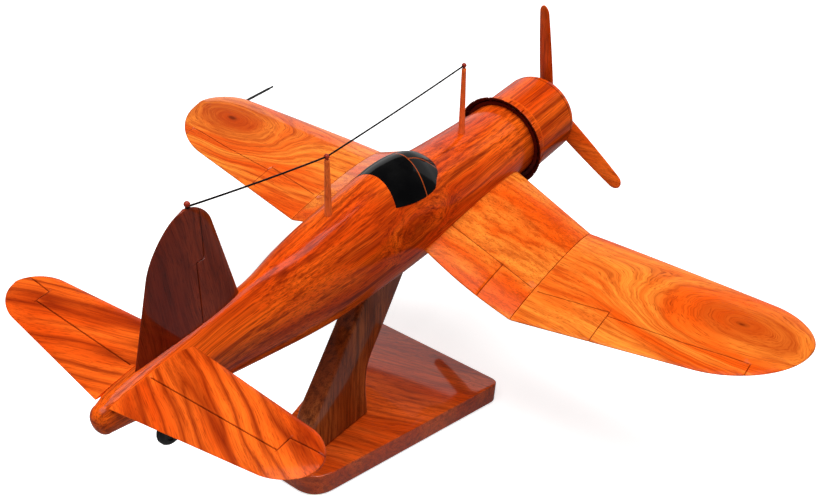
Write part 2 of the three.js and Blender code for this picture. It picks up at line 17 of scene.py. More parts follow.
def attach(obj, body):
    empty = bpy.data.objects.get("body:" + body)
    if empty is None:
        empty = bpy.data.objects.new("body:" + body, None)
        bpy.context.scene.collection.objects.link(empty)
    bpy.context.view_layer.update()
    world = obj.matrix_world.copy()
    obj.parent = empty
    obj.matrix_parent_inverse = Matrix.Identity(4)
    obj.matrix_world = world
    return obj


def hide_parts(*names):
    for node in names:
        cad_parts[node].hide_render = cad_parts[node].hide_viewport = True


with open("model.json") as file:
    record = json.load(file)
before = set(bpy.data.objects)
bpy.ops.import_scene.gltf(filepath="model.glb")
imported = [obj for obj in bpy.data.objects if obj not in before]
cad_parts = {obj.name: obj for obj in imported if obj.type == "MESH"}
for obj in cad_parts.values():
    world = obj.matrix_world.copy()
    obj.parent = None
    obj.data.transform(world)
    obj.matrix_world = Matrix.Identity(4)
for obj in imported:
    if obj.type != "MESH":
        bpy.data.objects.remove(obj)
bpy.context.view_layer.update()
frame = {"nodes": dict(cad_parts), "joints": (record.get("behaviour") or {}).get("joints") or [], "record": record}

# ---------- driving dimensions ----------

MM = 0.001

PROP = SimpleNamespace(y=-53, radius=64.45, rake=5, pitch=19, chord=11.8, taper=4.6, hub=6, thick=3,
                       angles=(86.8, 212.3, 329.3))
COWL = SimpleNamespace(radius=23.4, drop=1.4, front=-46, rear=-9.6, lip=5.5, open=16.5, recess=9, line=-40)
RING = SimpleNamespace(rim=27, thick=1, flaps=16, first_notch=5.5, notch=0.5)
FOLD = SimpleNamespace(x=70.3, z=-25.3)
ROOT = SimpleNamespace(x=20.4, z=-8.4)
TIP = SimpleNamespace(x=196.0, y=46, z=-16.6)
INCIDENCE_RISE = 1.2
STAB = SimpleNamespace(z=23.4, left_tip=87.6, right_tip=85.2, tip_y=248.5)
FIN = SimpleNamespace(root_z=20, top_z=81, peak_y=220)
CANOPY = SimpleNamespace(front=72.6, rear=113.6, sill=22.4, rear_sill=26.7, proud=0.25)
TAIL_END = 278.7
MAST = SimpleNamespace(root=1.75, tip=1.15, ball=1.25, pin=0.4)
FORWARD_MAST = ((0, 37.9, 23.7), (0, 36.4, 61.2))
AFT_MAST = ((0, 143.3, 33.3), (0, 141.2, 61.9))
FIN_PIN = (0, 218, 81)
WIRE = SimpleNamespace(radius=0.5, tie_rise=1.5, sag=0.5)
PITOT = SimpleNamespace(x=174.5, root_y=31, tip_y=2.5, z=-17, radius=0.8)
WHEEL = SimpleNamespace(y=247.8, z=-13.4, radius=6.4, half=2.3, bore=1.1)
BASE = SimpleNamespace(front=62.6, rear=62.6, front_half=47, rear_half=17.5, front_radius=6.5, rear_radius=12.5,
                       bottom=1, top=13.6, edge=0.6)
ARM = SimpleNamespace(half=5.9, top=98, edge=1.6)
PEG = SimpleNamespace(y=-3, top=107, radius=3.3)
SCRIBE = SimpleNamespace(half=0.34, depth=0.4)

# Fuselage stations from nose to tail: distance aft, spine height, keel height,
# half width, height of the widest line, and the crown exponent (2 is round, less is roof-like).
STATIONS = np.array([
    (-9, 21.2, -21.2, 21.2, 0, 2),
    (38, 24.8, -23.2, 21.7, 2.8, 2),
    (74, 29.6, -24.5, 21.6, 4.8, 2),
    (98, 37, -24.7, 21, 6, 2),
    (143, 34, -20.9, 19.6, 6, 2),
    (168, 31.2, -17.6, 16.8, 7.2, 2),
    (192, 29.2, -13, 12.7, 9.6, 1.6),
    (217, 28, -6.7, 10.3, 14.4, 1.6),
    (246, 27.4, 1.2, 8.4, 18, 1.6),
    (266, 25.8, 7.2, 6.2, 18.6, 2),
    (274, 23.4, 9.4, 5, 17.6, 2),
], float)
# Canopy crown line: step aft of the windscreen foot, height, exponent.
CROWNS = np.array([
    (-1, 28, 1.9), (0, 29.4, 1.8), (3, 31.9, 1.7), (7, 34.6, 1.66), (12, 36.6, 1.75),
    (19, 37.5, 1.9), (28, 37.6, 2), (36, 37.1, 2), (43, 36.4, 2),
])

# The aeroplane's own frame sits nose-up in the row frame, as the propeller's joint says.
spin = next(joint for joint in frame["joints"] if joint["name"] == "propeller_spin")
AFT = Vector(spin["axis"])
NOSE_UP = math.atan2(-AFT.z, AFT.y)
TILT = Matrix.Rotation(-NOSE_UP, 3, "X")
ORIGIN = Vector(spin["pos_m"]) - TILT @ Vector((0, PROP.y, -COWL.drop)) * MM
BODY_OF = {node: body for body, nodes in frame["record"]["behaviour"]["bodies"].items() for node in nodes}


def aeroplane_to_row(points):
    """Points in the aeroplane's own millimetres, as metres in the row frame."""
    return np.asarray(points) @ np.array(TILT).T * MM + np.array(ORIGIN)


def stand_to_row(points):
    return np.asarray(points, float) * MM


# ---------- meshes ----------

def ring_faces(rings, count):
    """Quads between rings of count points each, and one face over each end."""
    faces = []
    for i in range(rings - 1):
        for j in range(count):
            a = i * count + j
            b = i * count + (j + 1) % count
            faces.append((a, b, b + count, a + count))
    last = (rings - 1) * count
    faces.append(tuple(range(count - 1, -1, -1)))
    faces.append(tuple(range(last, last + count)))
    return faces


def make_object(name, points, faces, place=aeroplane_to_row, crease=40, marks=None):
    """A clean closed mesh object with outward normals, smooth but for edges sharper than crease degrees.
    marks gives its material named values at the points."""
    mesh = bpy.data.meshes.new(name)
    mesh.from_pydata(place(points).tolist(), [], faces)
    for label, values in (marks or {}).items():
        mark = mesh.attributes.new(label, "FLOAT", "POINT")
        mark.data.foreach_set("value", np.asarray(values, np.float32))
    work = bmesh.new()
    work.from_mesh(mesh)
    bmesh.ops.remove_doubles(work, verts=work.verts, dist=1e-6)
    bmesh.ops.dissolve_degenerate(work, edges=work.edges, dist=1e-6)
    bmesh.ops.recalc_face_normals(work, faces=work.faces)
    work.to_mesh(mesh)
    work.free()
    soften(mesh, crease)
    made = bpy.data.objects.new(name, mesh)
    bpy.context.scene.collection.objects.link(made)
    return made


def soften(mesh, crease):
    mesh.shade_smooth()
    mesh.set_sharp_from_angle(angle=math.radians(crease))


def finish_piece(made, node, material):
    """Makes the object stand for a CAD node: same body, its own material."""
    made.data.materials.clear()
    made.data.materials.append(material)
    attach(made, BODY_OF[node])
    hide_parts(node)
    return made


def loft(rings):
    """Points and faces of a solid skinned over closed rings of equal point counts."""
    rings = np.asarray(rings, float)
    return rings.reshape(-1, 3), ring_faces(*rings.shape[:2])


def subtract(made, tool):
    """Cuts the tool out of the object, then drops the tool."""
    cut = made.modifiers.new("cut", "BOOLEAN")
    cut.operation = "DIFFERENCE"
    cut.solver = "EXACT"
    cut.object = tool
    shape = made.evaluated_get(bpy.context.evaluated_depsgraph_get())
    made.data = bpy.data.meshes.new_from_object(shape)
    made.modifiers.clear()
    bpy.data.objects.remove(tool)


def frame_along(path):
    """For each point of a path, two directions square to it that turn smoothly along the way."""
    path = np.asarray(path, float)
    forward = np.gradient(path, axis=0)
    forward /= np.linalg.norm(forward, axis=1)[:, None]
    helper = np.array([1.0, 0, 0]) if abs(forward[0][0]) < 0.8 else np.array([0, 0, 1.0])
    first = np.cross(forward, helper)
    first /= np.linalg.norm(first, axis=1)[:, None]
    return first, np.cross(forward, first)


def sweep(path, radii, count=24):
    """Rings of the given radii round a path."""
    path = np.asarray(path, float)
    radii = np.broadcast_to(radii, len(path))
    first, second = frame_along(path)
    turn = np.linspace(0, 2 * math.pi, count, endpoint=False)[None, :, None]
    around = np.cos(turn) * first[:, None] + np.sin(turn) * second[:, None]
    return path[:, None] + radii[:, None, None] * around


def rod(start, end, profile, count=32):
    """A turned rod: profile lists (share of the way, radius)."""
    start, end = np.array(start, float), np.array(end, float)
    path = [start + (end - start) * share for share, _ in profile]
    first, second = frame_along([start, end])
    turn = np.linspace(0, 2 * math.pi, count, endpoint=False)[:, None]
    around = np.cos(turn) * first[0] + np.sin(turn) * second[0]
    return loft([point + radius * around for point, (_, radius) in zip(path, profile)])


def lathe(profile, count=144, centre=(0, 0), notch=None):
    """Turns a closed (radius, y) profile about a line along Y; notch(turn, profile) moves points inwards."""
    profile = np.asarray(profile, float)
    turns = np.linspace(0, 2 * math.pi, count, endpoint=False)
    if notch:
        turns = notch_turns(turns)
    rings = []
    for turn in turns:
        radii = profile[:, 0] - (notch(turn, profile) if notch else 0)
        rings.append(np.stack([
            centre[0] + radii * math.cos(turn), profile[:, 1], centre[1] + radii * math.sin(turn)], 1))
    points = np.array(rings)
    steps, width = points.shape[:2]
    faces = []
    for i in range(steps):
        for j in range(width):
            a, b = i * width + j, i * width + (j + 1) % width
            shift = ((i + 1) % steps - i) * width
            faces.append((a, b, b + shift, a + shift))
    return points.reshape(-1, 3), faces


def arc(centre, radius, start, end, steps):
    """Points of a circular arc in a plane, angles in degrees."""
    turns = np.radians(np.linspace(start, end, steps))
    return [(centre[0] + radius * math.cos(t), centre[1] + radius * math.sin(t)) for t in turns]


def quadratic(start, control, end, steps):
    """Points of a quadratic curve, its start left out."""
    points = []
    for t in np.linspace(0, 1, steps + 1)[1:]:
        a, b, c = (1 - t) ** 2, 2 * t * (1 - t), t * t
        points.append(tuple(a * s + b * m + c * e for s, m, e in zip(start, control, end)))
    return points


def mix(a, b, t):
    return a + (b - a) * t


# ---------- fuselage, canopy, cowl ----------

def catmull_rom(table, t):
    """A smooth curve through the table's rows; t runs 0 to 1 over all of them."""
    table = np.asarray(table, float)
    last = len(table) - 1
    spot = min(max(t, 0), 1) * last
    i = min(int(spot), last - 1)
    w = spot - i
    before = table[i - 1] if i > 0 else 2 * table[0] - table[1]
    after = table[i + 2] if i + 2 <= last else 2 * table[last] - table[last - 1]
    slope_in = (table[i + 1] - before) / 2
    slope_out = (after - table[i]) / 2
    rise = table[i + 1] - table[i]
    return (table[i] + slope_in * w + (3 * rise - 2 * slope_in - slope_out) * w ** 2
            + (slope_in + slope_out - 2 * rise) * w ** 3)


FINE_STATIONS = np.array([catmull_rom(STATIONS, t) for t in np.linspace(0, 1, 800)])


def measures_at_y(y):
    """The fuselage's smoothed half width and widest line at distances aft."""
    return [np.interp(y, FINE_STATIONS[:, 0], FINE_STATIONS[:, i]) for i in (3, 4)]


def section(angles, top, keel, half, centre, crown):
    """x and z round a fuselage section: an ellipse whose upper half takes the crown exponent."""
    side, rise = np.cos(angles), np.sin(angles)
    power = np.where(rise > 0, 2 / crown, 1.0)
    height = np.where(rise > 0, top - centre, centre - keel)
    x = half * np.sign(side) * np.abs(side) ** power
    z = centre + height * np.sign(rise) * np.abs(rise) ** power
    return x, z


def fuselage_rings(grow=0.0, steps=220, count=120):
    angles = np.linspace(0, 2 * math.pi, count, endpoint=False)
    rings = []
    for t in np.linspace(0, 1, steps):
        y, top, keel, half, centre, crown = catmull_rom(STATIONS, t)
        x, z = section(angles, top + grow, keel - grow, half + grow, centre, crown)
        rings.append(np.stack([x, np.full(count, y), z], 1))
    y, top, keel, half, centre, crown = catmull_rom(STATIONS, 1)
    for turn in np.linspace(0, math.pi / 2, 14)[1:-1]:
        shrink = math.cos(turn)
        x, z = section(angles, centre + (top + grow - centre) * shrink, centre - (centre - keel + grow) * shrink,
                       (half + grow) * shrink, centre, 2)
        rings.append(np.stack([x, np.full(count, mix(y, TAIL_END + grow, math.sin(turn))), z], 1))
    return rings


def canopy_sill(y):
    """Height of the canopy's lower edge: a rounded windscreen foot, then a sill that rises aft."""
    knee = (CANOPY.front + 12.4, CANOPY.sill)
    foot = [(CANOPY.front, CANOPY.sill + 6)]
    foot += quadratic(foot[0], (CANOPY.front, CANOPY.sill + 1.2), knee, 24)
    foot += quadratic(knee, (CANOPY.front + 25, CANOPY.sill - 0.4), (CANOPY.rear, CANOPY.rear_sill), 24)
    ys, zs = np.array(foot).T
    return np.interp(y, ys, zs)


FINE_CROWNS = np.array([catmull_rom(CROWNS, t) for t in np.linspace(0, 1, 400)])


def canopy_measures(y):
    """The canopy's crown and exponent over the fuselage's own girth, at distances aft."""
    crown, power = (np.interp(y - CANOPY.front, FINE_CROWNS[:, 0], FINE_CROWNS[:, i]) for i in (1, 2))
    half, centre = measures_at_y(y)
    return crown, half + CANOPY.proud, centre, power


def canopy_skin(along, around, sink):
    """Canopy points: along 0 to 1 front to rear, around 0 to 1 from sill to sill, sunk by sink."""
    y = mix(CANOPY.front, CANOPY.rear, along)
    for _ in range(5):
        crown, half, centre, power = canopy_measures(y)
        foot = np.clip((canopy_sill(y) - centre) / (crown - centre), 0, 0.999) ** (power / 2)
        start = np.arcsin(foot)
        angle = mix(start, math.pi - start, around)
        x, z = section(angle, crown - sink, 0, half - sink, centre, power)
        rear = CANOPY.rear - np.clip(z - CANOPY.rear_sill, 0, None) / 3
        y = mix(CANOPY.front, rear, along)
    return np.stack([x, y, z], -1)


def inlay_mask(points):
    """1 on the two thin copper lines let into the canopy: a hoop and the windscreen's side frames."""
    x, y = np.abs(points[:, 0]), points[:, 1]
    hoop = 88.6 + 3.9 * (x / 17.3) ** 1.6
    ahead = np.clip(88.8 - y, 0, None)
    frame_x = 3.7 + 0.3 * ahead + 3.6 * (ahead / 13.9) ** 4
    on_hoop = np.clip(1.5 - np.abs(y - hoop) / 0.25, 0, 1)
    on_frame = np.clip(1.5 - np.abs(x - frame_x) / 0.22, 0, 1) * (y < hoop)
    return np.maximum(on_hoop, on_frame)


def canopy_mesh(steps=170):
    """A closed canopy shell: outer skin, inner skin, and the strip of faces that joins their rims."""
    along, around = np.meshgrid(np.linspace(0, 1, steps), np.linspace(0, 1, steps), indexing="ij")
    skins = [canopy_skin(along, around, sink).reshape(-1, 3) for sink in (0, 1.6)]
    count = steps * steps
    faces = []
    for i in range(steps - 1):
        for j in range(steps - 1):
            a = i * steps + j
            faces.append((a, a + 1, a + steps + 1, a + steps))
            faces.append((count + a, count + a + steps, count + a + steps + 1, count + a + 1))
    border = list(range(steps))
    border += [i * steps + steps - 1 for i in range(1, steps)]
    border += [(steps - 1) * steps + j for j in range(steps - 2, -1, -1)]
    border += [i * steps for i in range(steps - 2, 0, -1)]
    for a, b in zip(border, border[1:] + border[:1]):
        faces.append((a, b, count + b, count + a))
    return np.concatenate(skins), faces


def cowl_profile():
    """Half the cowl's section: rounded lip, recessed opening, and one engraved line near the front."""
    outer = [(0, COWL.rear), (COWL.radius - 0.3, COWL.rear), (COWL.radius, COWL.rear - 0.3)]
    groove = [(COWL.radius - SCRIBE.depth * (1 - (s / 3) ** 2), COWL.line - SCRIBE.half * s / 3)
              for s in (-3, -1.5, 0, 1.5, 3)]
    body = [(COWL.radius, y) for y in np.linspace(COWL.rear - 1, COWL.line + 1, 12)]
    lip = arc((COWL.radius - COWL.lip, COWL.front + COWL.lip), COWL.lip, 0, -90, 14)
    inner = [(COWL.open + 0.5, COWL.front + 0.15), (COWL.open + 0.12, COWL.front + 0.5), (COWL.open, COWL.front + 1)]
    well = [(COWL.open, COWL.front + COWL.recess), (0, COWL.front + COWL.recess)]
    return outer + body + groove + lip + inner + well


def ring_profile():
    """The ring of opened cowl flaps in half section: radius, y, and 1 where the face looks inwards."""
    radius, rim = COWL.radius, RING.rim
    outer = [(radius - 1.6, COWL.rear + 0.3, 0), (radius, COWL.rear + 0.3, 0), (radius, -7.6, 0), (radius, -7, 0),
             (radius, -5.5, 0), (radius, -4.6, 0), (radius + 0.25, -3.7, 0), (radius + 0.5, -3.3, 1),
             (radius + 0.7, -3, 1), (radius + 2, -1.4, 1), (rim - 0.2, -0.4, 1), (rim, -0.2, 0.4), (rim, -0.05, 0.4),
             (rim - 0.1, 0, 0.9)]
    inner = [(rim - 0.9, 0, 1), (rim - 1.1, -0.1, 1), (radius + 1.1, -1.7, 1), (radius - 0.3, -3.4, 1),
             (radius - 0.75, -4.2, 1), (radius - 1, -5, 1)]
    return outer + inner


def notch_turns(turns):
    """The given turns plus close ones across each notch between two cowl flaps."""
    centres = np.radians(RING.first_notch + 360 / RING.flaps * np.arange(RING.flaps))
    reach = np.array([-1, -0.6, 0, 0.6, 1]) * RING.notch / RING.rim
    extra = (centres[:, None] + reach).ravel() % (2 * math.pi)
    return np.unique(np.round(np.concatenate([turns, extra]), 5))


def ring_notch(turn, profile):
    """How far each profile point moves in at a turn: a small V cut between neighbouring flaps."""
    pitch = 2 * math.pi / RING.flaps
    away = (turn - math.radians(RING.first_notch) + pitch / 2) % pitch - pitch / 2
    share = max(0.0, 1 - abs(away) * RING.rim / RING.notch)
    return 0.6 * share * (profile[:, 1] > -7.5)


# ---------- wings and tail ----------

def tip_closing(x, start, tip):
    """How far a rounded tip has closed at x: 0 inboard of start, 1 at the tip."""
    u = min(max(0.0, (x - start) / (tip - start)), 1.0)
    return 1 - math.sqrt(1 - u * u)


def fullness(along):
    """Half thickness of an aerofoil along its chord, with a softly blunt leading and trailing edge."""
    along = np.clip(along, 0, 1)
    return 2.35 * np.sqrt(along) * (1 - along) + 0.42 * (along * (1 - along)) ** 0.25


def outer_wing_at(x):
    out = (x - FOLD.x) / (TIP.x - FOLD.x)
    lead = 18 + 9.8 * max(0, out) ** 1.2
    trail = 98.4 - 0.154 * (x - FOLD.x)
    thick = mix(9, 5.2, out) * (1 - 0.72 * tip_closing(x, 165, TIP.x))
    return (mix(lead, TIP.y, tip_closing(x, 172, TIP.x)), mix(trail, TIP.y, tip_closing(x, 156, TIP.x)),
            mix(FOLD.z, TIP.z, out), thick)


def inner_wing_at(x):
    out = (x - ROOT.x) / (FOLD.x - ROOT.x)
    trail = mix(96.4, 98.4, out) + 1.6 * math.sin(math.pi * max(0, out))
    return mix(12, 18, out), trail, mix(ROOT.z, FOLD.z, out), mix(11, 9, out)


def stab_at(tip):
    """The tailplane's measures as a function of x, for a side whose tip is at the given distance out."""
    def at(x):
        out = x / tip
        lead = mix(mix(231, 237, out), STAB.tip_y, tip_closing(x, 71, tip))
        trail = mix(mix(273.5, 260.5, out), STAB.tip_y, tip_closing(x, 69, tip))
        return lead, trail, STAB.z, mix(4, 2.4, out) * (1 - 0.6 * tip_closing(x, 71, tip))
    return at


def fin_at(z):
    up = (z - FIN.root_z) / (FIN.top_z - FIN.root_z)
    closed = tip_closing(z, 62, FIN.top_z)
    lead = mix(mix(199.5, 210, up), FIN.peak_y, tip_closing(z, 70, FIN.top_z))
    trail = mix(mix(259, 235.5, up), FIN.peak_y, closed)
    return lead, trail, 0.0, mix(4, 2.4, up) * (1 - 0.5 * closed)


# Scribed lines in each panel's plan: lists of joined points (span, distance aft).
OUTER_LINES = [
    [(72.6, 76.9), (109.2, 72.4)],
    [(109.2, 72.4), (109.2, 96)],
    [(109.2, 75.1), (146.4, 73.4), (176.4, 70.3)],
    [(176.4, 70.3), (176.4, 82)],
]
INNER_LINES = [[(10, 75.4), (69.6, 76.3)], [(51.6, 76), (51.6, 103)]]
STAB_LINES = [[(6, 254), (68.6, 251.5)], [(68.6, 251.5), (68.6, 244.8)], [(68.6, 244.8), (85, 243.2)]]
FIN_LINES = [[(26.3, 222.6), (56.5, 219.7)], [(56.5, 219.7), (56.5, 215.9)], [(56.5, 215.9), (80, 213)]]


def hinge_of(lines):
    """The long spanwise lines joined into one function: where the panel's rows of points bunch up."""
    runs = [line for line in lines if line[0][0] != line[-1][0]]
    spans, afts = [], []
    for line in runs:
        for i, (span, aft) in enumerate(line):
            nudge = SCRIBE.half if i == 0 and spans else 0
            spans.append(span + nudge)
            afts.append(aft)
        spans[-1] -= SCRIBE.half if line is not runs[-1] else 0
    return lambda span: float(np.interp(span, spans, afts))


def scribe_share(spans, afts, lines):
    """0 away from every line, rising to 1 along a line's middle."""
    nearest = np.full(spans.shape, 1e9)
    for line in lines:
        for (x0, y0), (x1, y1) in zip(line, line[1:]):
            dx, dy = x1 - x0, y1 - y0
            t = np.clip(((spans - x0) * dx + (afts - y0) * dy) / (dx * dx + dy * dy), 0, 1)
            nearest = np.minimum(nearest, np.hypot(spans - x0 - t * dx, afts - y0 - t * dy))
    return np.clip(1 - (nearest / SCRIBE.half) ** 2, 0, 1)


def span_stations(start, end, lines, step=2.0, closing=None):
    """Span positions: even steps, close steps across each chordwise line, closer still towards a round tip."""
    spans = list(np.arange(start, end, step)) + [end]
    if closing:
        spans = [s for s in spans if s < closing] + [mix(closing, end, math.sin(a))
                                                     for a in np.linspace(0, math.pi / 2 * 0.985, 36)]
    breaks = {x for line in lines for x, _ in (line[0], line[-1])}
    cluster = np.array([-1, -0.5, 0, 0.5, 1]) * SCRIBE.half
    for x in breaks:
        if start < x - 1 and x + 1 < end:
            spans = [s for s in spans if abs(s - x) > 0.7] + list(x + cluster)
    return sorted(spans)


def chord_rows(lead, trail, hinge):
    """Distances aft from leading to trailing edge: close at both edges and across the hinge line."""
    chord = trail - lead
    hinge = min(max(hinge, lead + 0.2 * chord), trail - 0.15 * chord)
    half = min(SCRIBE.half, 0.05 * chord)
    fore = 1 - np.cos(np.linspace(0, math.pi / 2, 26))
    aft = np.sin(np.linspace(0, math.pi / 2, 16))
    return np.concatenate([
        lead + (hinge - half - lead) * fore[:-1],
        hinge + half * np.array([-1, -0.5, 0, 0.5, 1]),
        hinge + half + (trail - hinge - half) * aft[1:],
    ])


def panel(at, spans, lines, place):
    """A flying surface with its control surfaces scribed in; place(span, aft, rise, level) gives its points."""
    hinge = hinge_of(lines)
    rings, shares = [], []
    for span in spans:
        lead, trail, level, thick = at(span)
        afts = chord_rows(lead, trail, hinge(span))
        bulge = thick / 2 * fullness((afts - lead) / (trail - lead))
        bulge[0] = bulge[-1] = 0
        share = scribe_share(np.full(len(afts), span), afts, lines)
        depth = np.minimum(SCRIBE.depth * share, 0.45 * bulge)
        upper = place(span, afts, bulge - depth, level, trail)
        lower = place(span, afts[-2:0:-1], (depth - 0.75 * bulge)[-2:0:-1], level, trail)
        rings.append(np.concatenate([upper, lower]))
        shares.append(np.concatenate([share, share[-2:0:-1]]))
    return (*loft(rings), np.concatenate(shares))


def level_place(side, rise):
    """Places a wing or tailplane section: span along X on one side, tilted up to the nose by rise."""
    def place(span, afts, bulge, level, trail):
        lift = rise * (trail - afts) / 80
        return np.stack([np.full(len(afts), side * span), afts, level + lift + bulge], 1)
    return place


def fin_place(height, afts, bulge, level, trail):
    return np.stack([bulge, afts, np.full(len(afts), height)], 1)


# ---------- materials ----------

class Graph:
    """Short calls that build one material's node tree."""

    def __init__(self, name, space):
        self.material = bpy.data.materials.new(name)
        self.material.use_nodes = True
        self.tree = self.material.node_tree
        self.tree.nodes.clear()
        self.position = self.own_space(space)

    def add(self, kind, inputs, **settings):
        node = self.tree.nodes.new(kind)
        for key, value in settings.items():
            setattr(node, key, value)
        for key, value in inputs.items():
            if isinstance(value, bpy.types.NodeSocket):
                self.tree.links.new(value, node.inputs[key])
            else:
                node.inputs[key].default_value = value
        return node

    def own_space(self, space):
        """Object coordinates turned into millimetres, in the aeroplane's or the stand's frame."""
        coordinates = self.add("ShaderNodeTexCoord", {}).outputs["Object"]
        if space == "stand":
            return self.add("ShaderNodeMapping", {"Vector": coordinates, "Scale": (1 / MM,) * 3}).outputs[0]
        back = TILT.transposed() @ ORIGIN / -MM
        return self.add("ShaderNodeMapping", {
            "Vector": coordinates, "Location": back, "Rotation": (NOSE_UP, 0, 0), "Scale": (1 / MM,) * 3,
        }).outputs[0]

    def scaled(self, vector, scale, shift=(0, 0, 0)):
        return self.add("ShaderNodeMapping", {"Vector": vector, "Scale": scale, "Location": shift}).outputs[0]

    def noise(self, vector, scale, detail=3, roughness=0.5, distortion=0, colour=False):
        node = self.add("ShaderNodeTexNoise", {
            "Vector": vector, "Scale": scale, "Detail": detail, "Roughness": roughness, "Distortion": distortion})
        return node.outputs["Color" if colour else "Fac"]

    def math(self, operation, a, b=0.0, c=0.0):
        return self.add("ShaderNodeMath", {0: a, 1: b, 2: c}, operation=operation).outputs[0]

    def vector(self, operation, a, b):
        return self.add("ShaderNodeVectorMath", {0: a, 1: b}, operation=operation).outputs[0]

    def length(self, a):
        return self.add("ShaderNodeVectorMath", {0: a}, operation="LENGTH").outputs["Value"]

    def step(self, value, low, high, start=0.0, end=1.0):
        """A smooth step from start at low to end at high."""
        return self.add("ShaderNodeMapRange", {"Value": value, "From Min": low, "From Max": high,
                                               "To Min": start, "To Max": end},
                        interpolation_type="SMOOTHSTEP").outputs[0]

    def blend(self, factor, a, b, blend_type="MIX"):
        node = self.add("ShaderNodeMix", {0: factor, 6: a, 7: b}, data_type="RGBA", blend_type=blend_type)
        return node.outputs[2]

    def attribute(self, name):
        return self.add("ShaderNodeAttribute", {}, attribute_name=name).outputs["Fac"]

    def edges(self, low=0.515, high=0.6):
        """1 on convex edges, where handling wears the finish."""
        return self.step(self.add("ShaderNodeNewGeometry", {}).outputs["Pointiness"], low, high)

    def finish(self, colour, roughness, height, bump=0.1, **inputs):
        normal = self.add("ShaderNodeBump", {"Height": height, "Strength": bump, "Distance": 0.2 * MM})
        settings = {"Base Color": colour, "Roughness": roughness, "Normal": normal.outputs[0]}
        settings.update({key.replace("_", " "): value for key, value in inputs.items()})
        shader = self.add("ShaderNodeBsdfPrincipled", settings)
        self.add("ShaderNodeOutputMaterial", {"Surface": shader.outputs[0]})
        return self.material


def rgb(red, green, blue):
    return (red, green, blue, 1.0)


def tone(colour, factor):
    return tuple(channel * factor for channel in colour[:3]) + (1.0,)


GRAIN_TURNS = {"x": (0, 0, 0), "y": (0, 0, -math.pi / 2), "z": (0, math.pi / 2, 0)}


def grain_space(g, along, skew, seed, sway=12.0):
    """Coordinates whose X runs with the grain, wandering a little sideways as real boards do."""
    rotation = Vector(GRAIN_TURNS[along]) + Vector((0, 0, math.radians(skew)))
    turned = g.add("ShaderNodeMapping", {"Vector": g.position, "Rotation": rotation}).outputs[0]
    slow = g.noise(g.scaled(turned, (0.012, 0.03, 0.03), (seed, seed * 2, 0)), 1, 2, colour=True)
    shift = g.vector("MULTIPLY", g.vector("SUBTRACT", slow, (0.5, 0.5, 0.5)), (0, sway, sway))
    return g.vector("ADD", turned, shift)


def around_knot(g, centre, shape):
    """How far each point lies from a knot, in long ovals that run with the grain and waver a little."""
    offset = g.vector("SUBTRACT", g.position, centre)
    waver = g.math("MULTIPLY", g.math("SUBTRACT", g.noise(g.scaled(g.position, (0.02, 0.05, 0.05)), 1, 3), 0.5), 9)
    return g.math("ADD", g.length(g.vector("MULTIPLY", offset, shape)), waver)


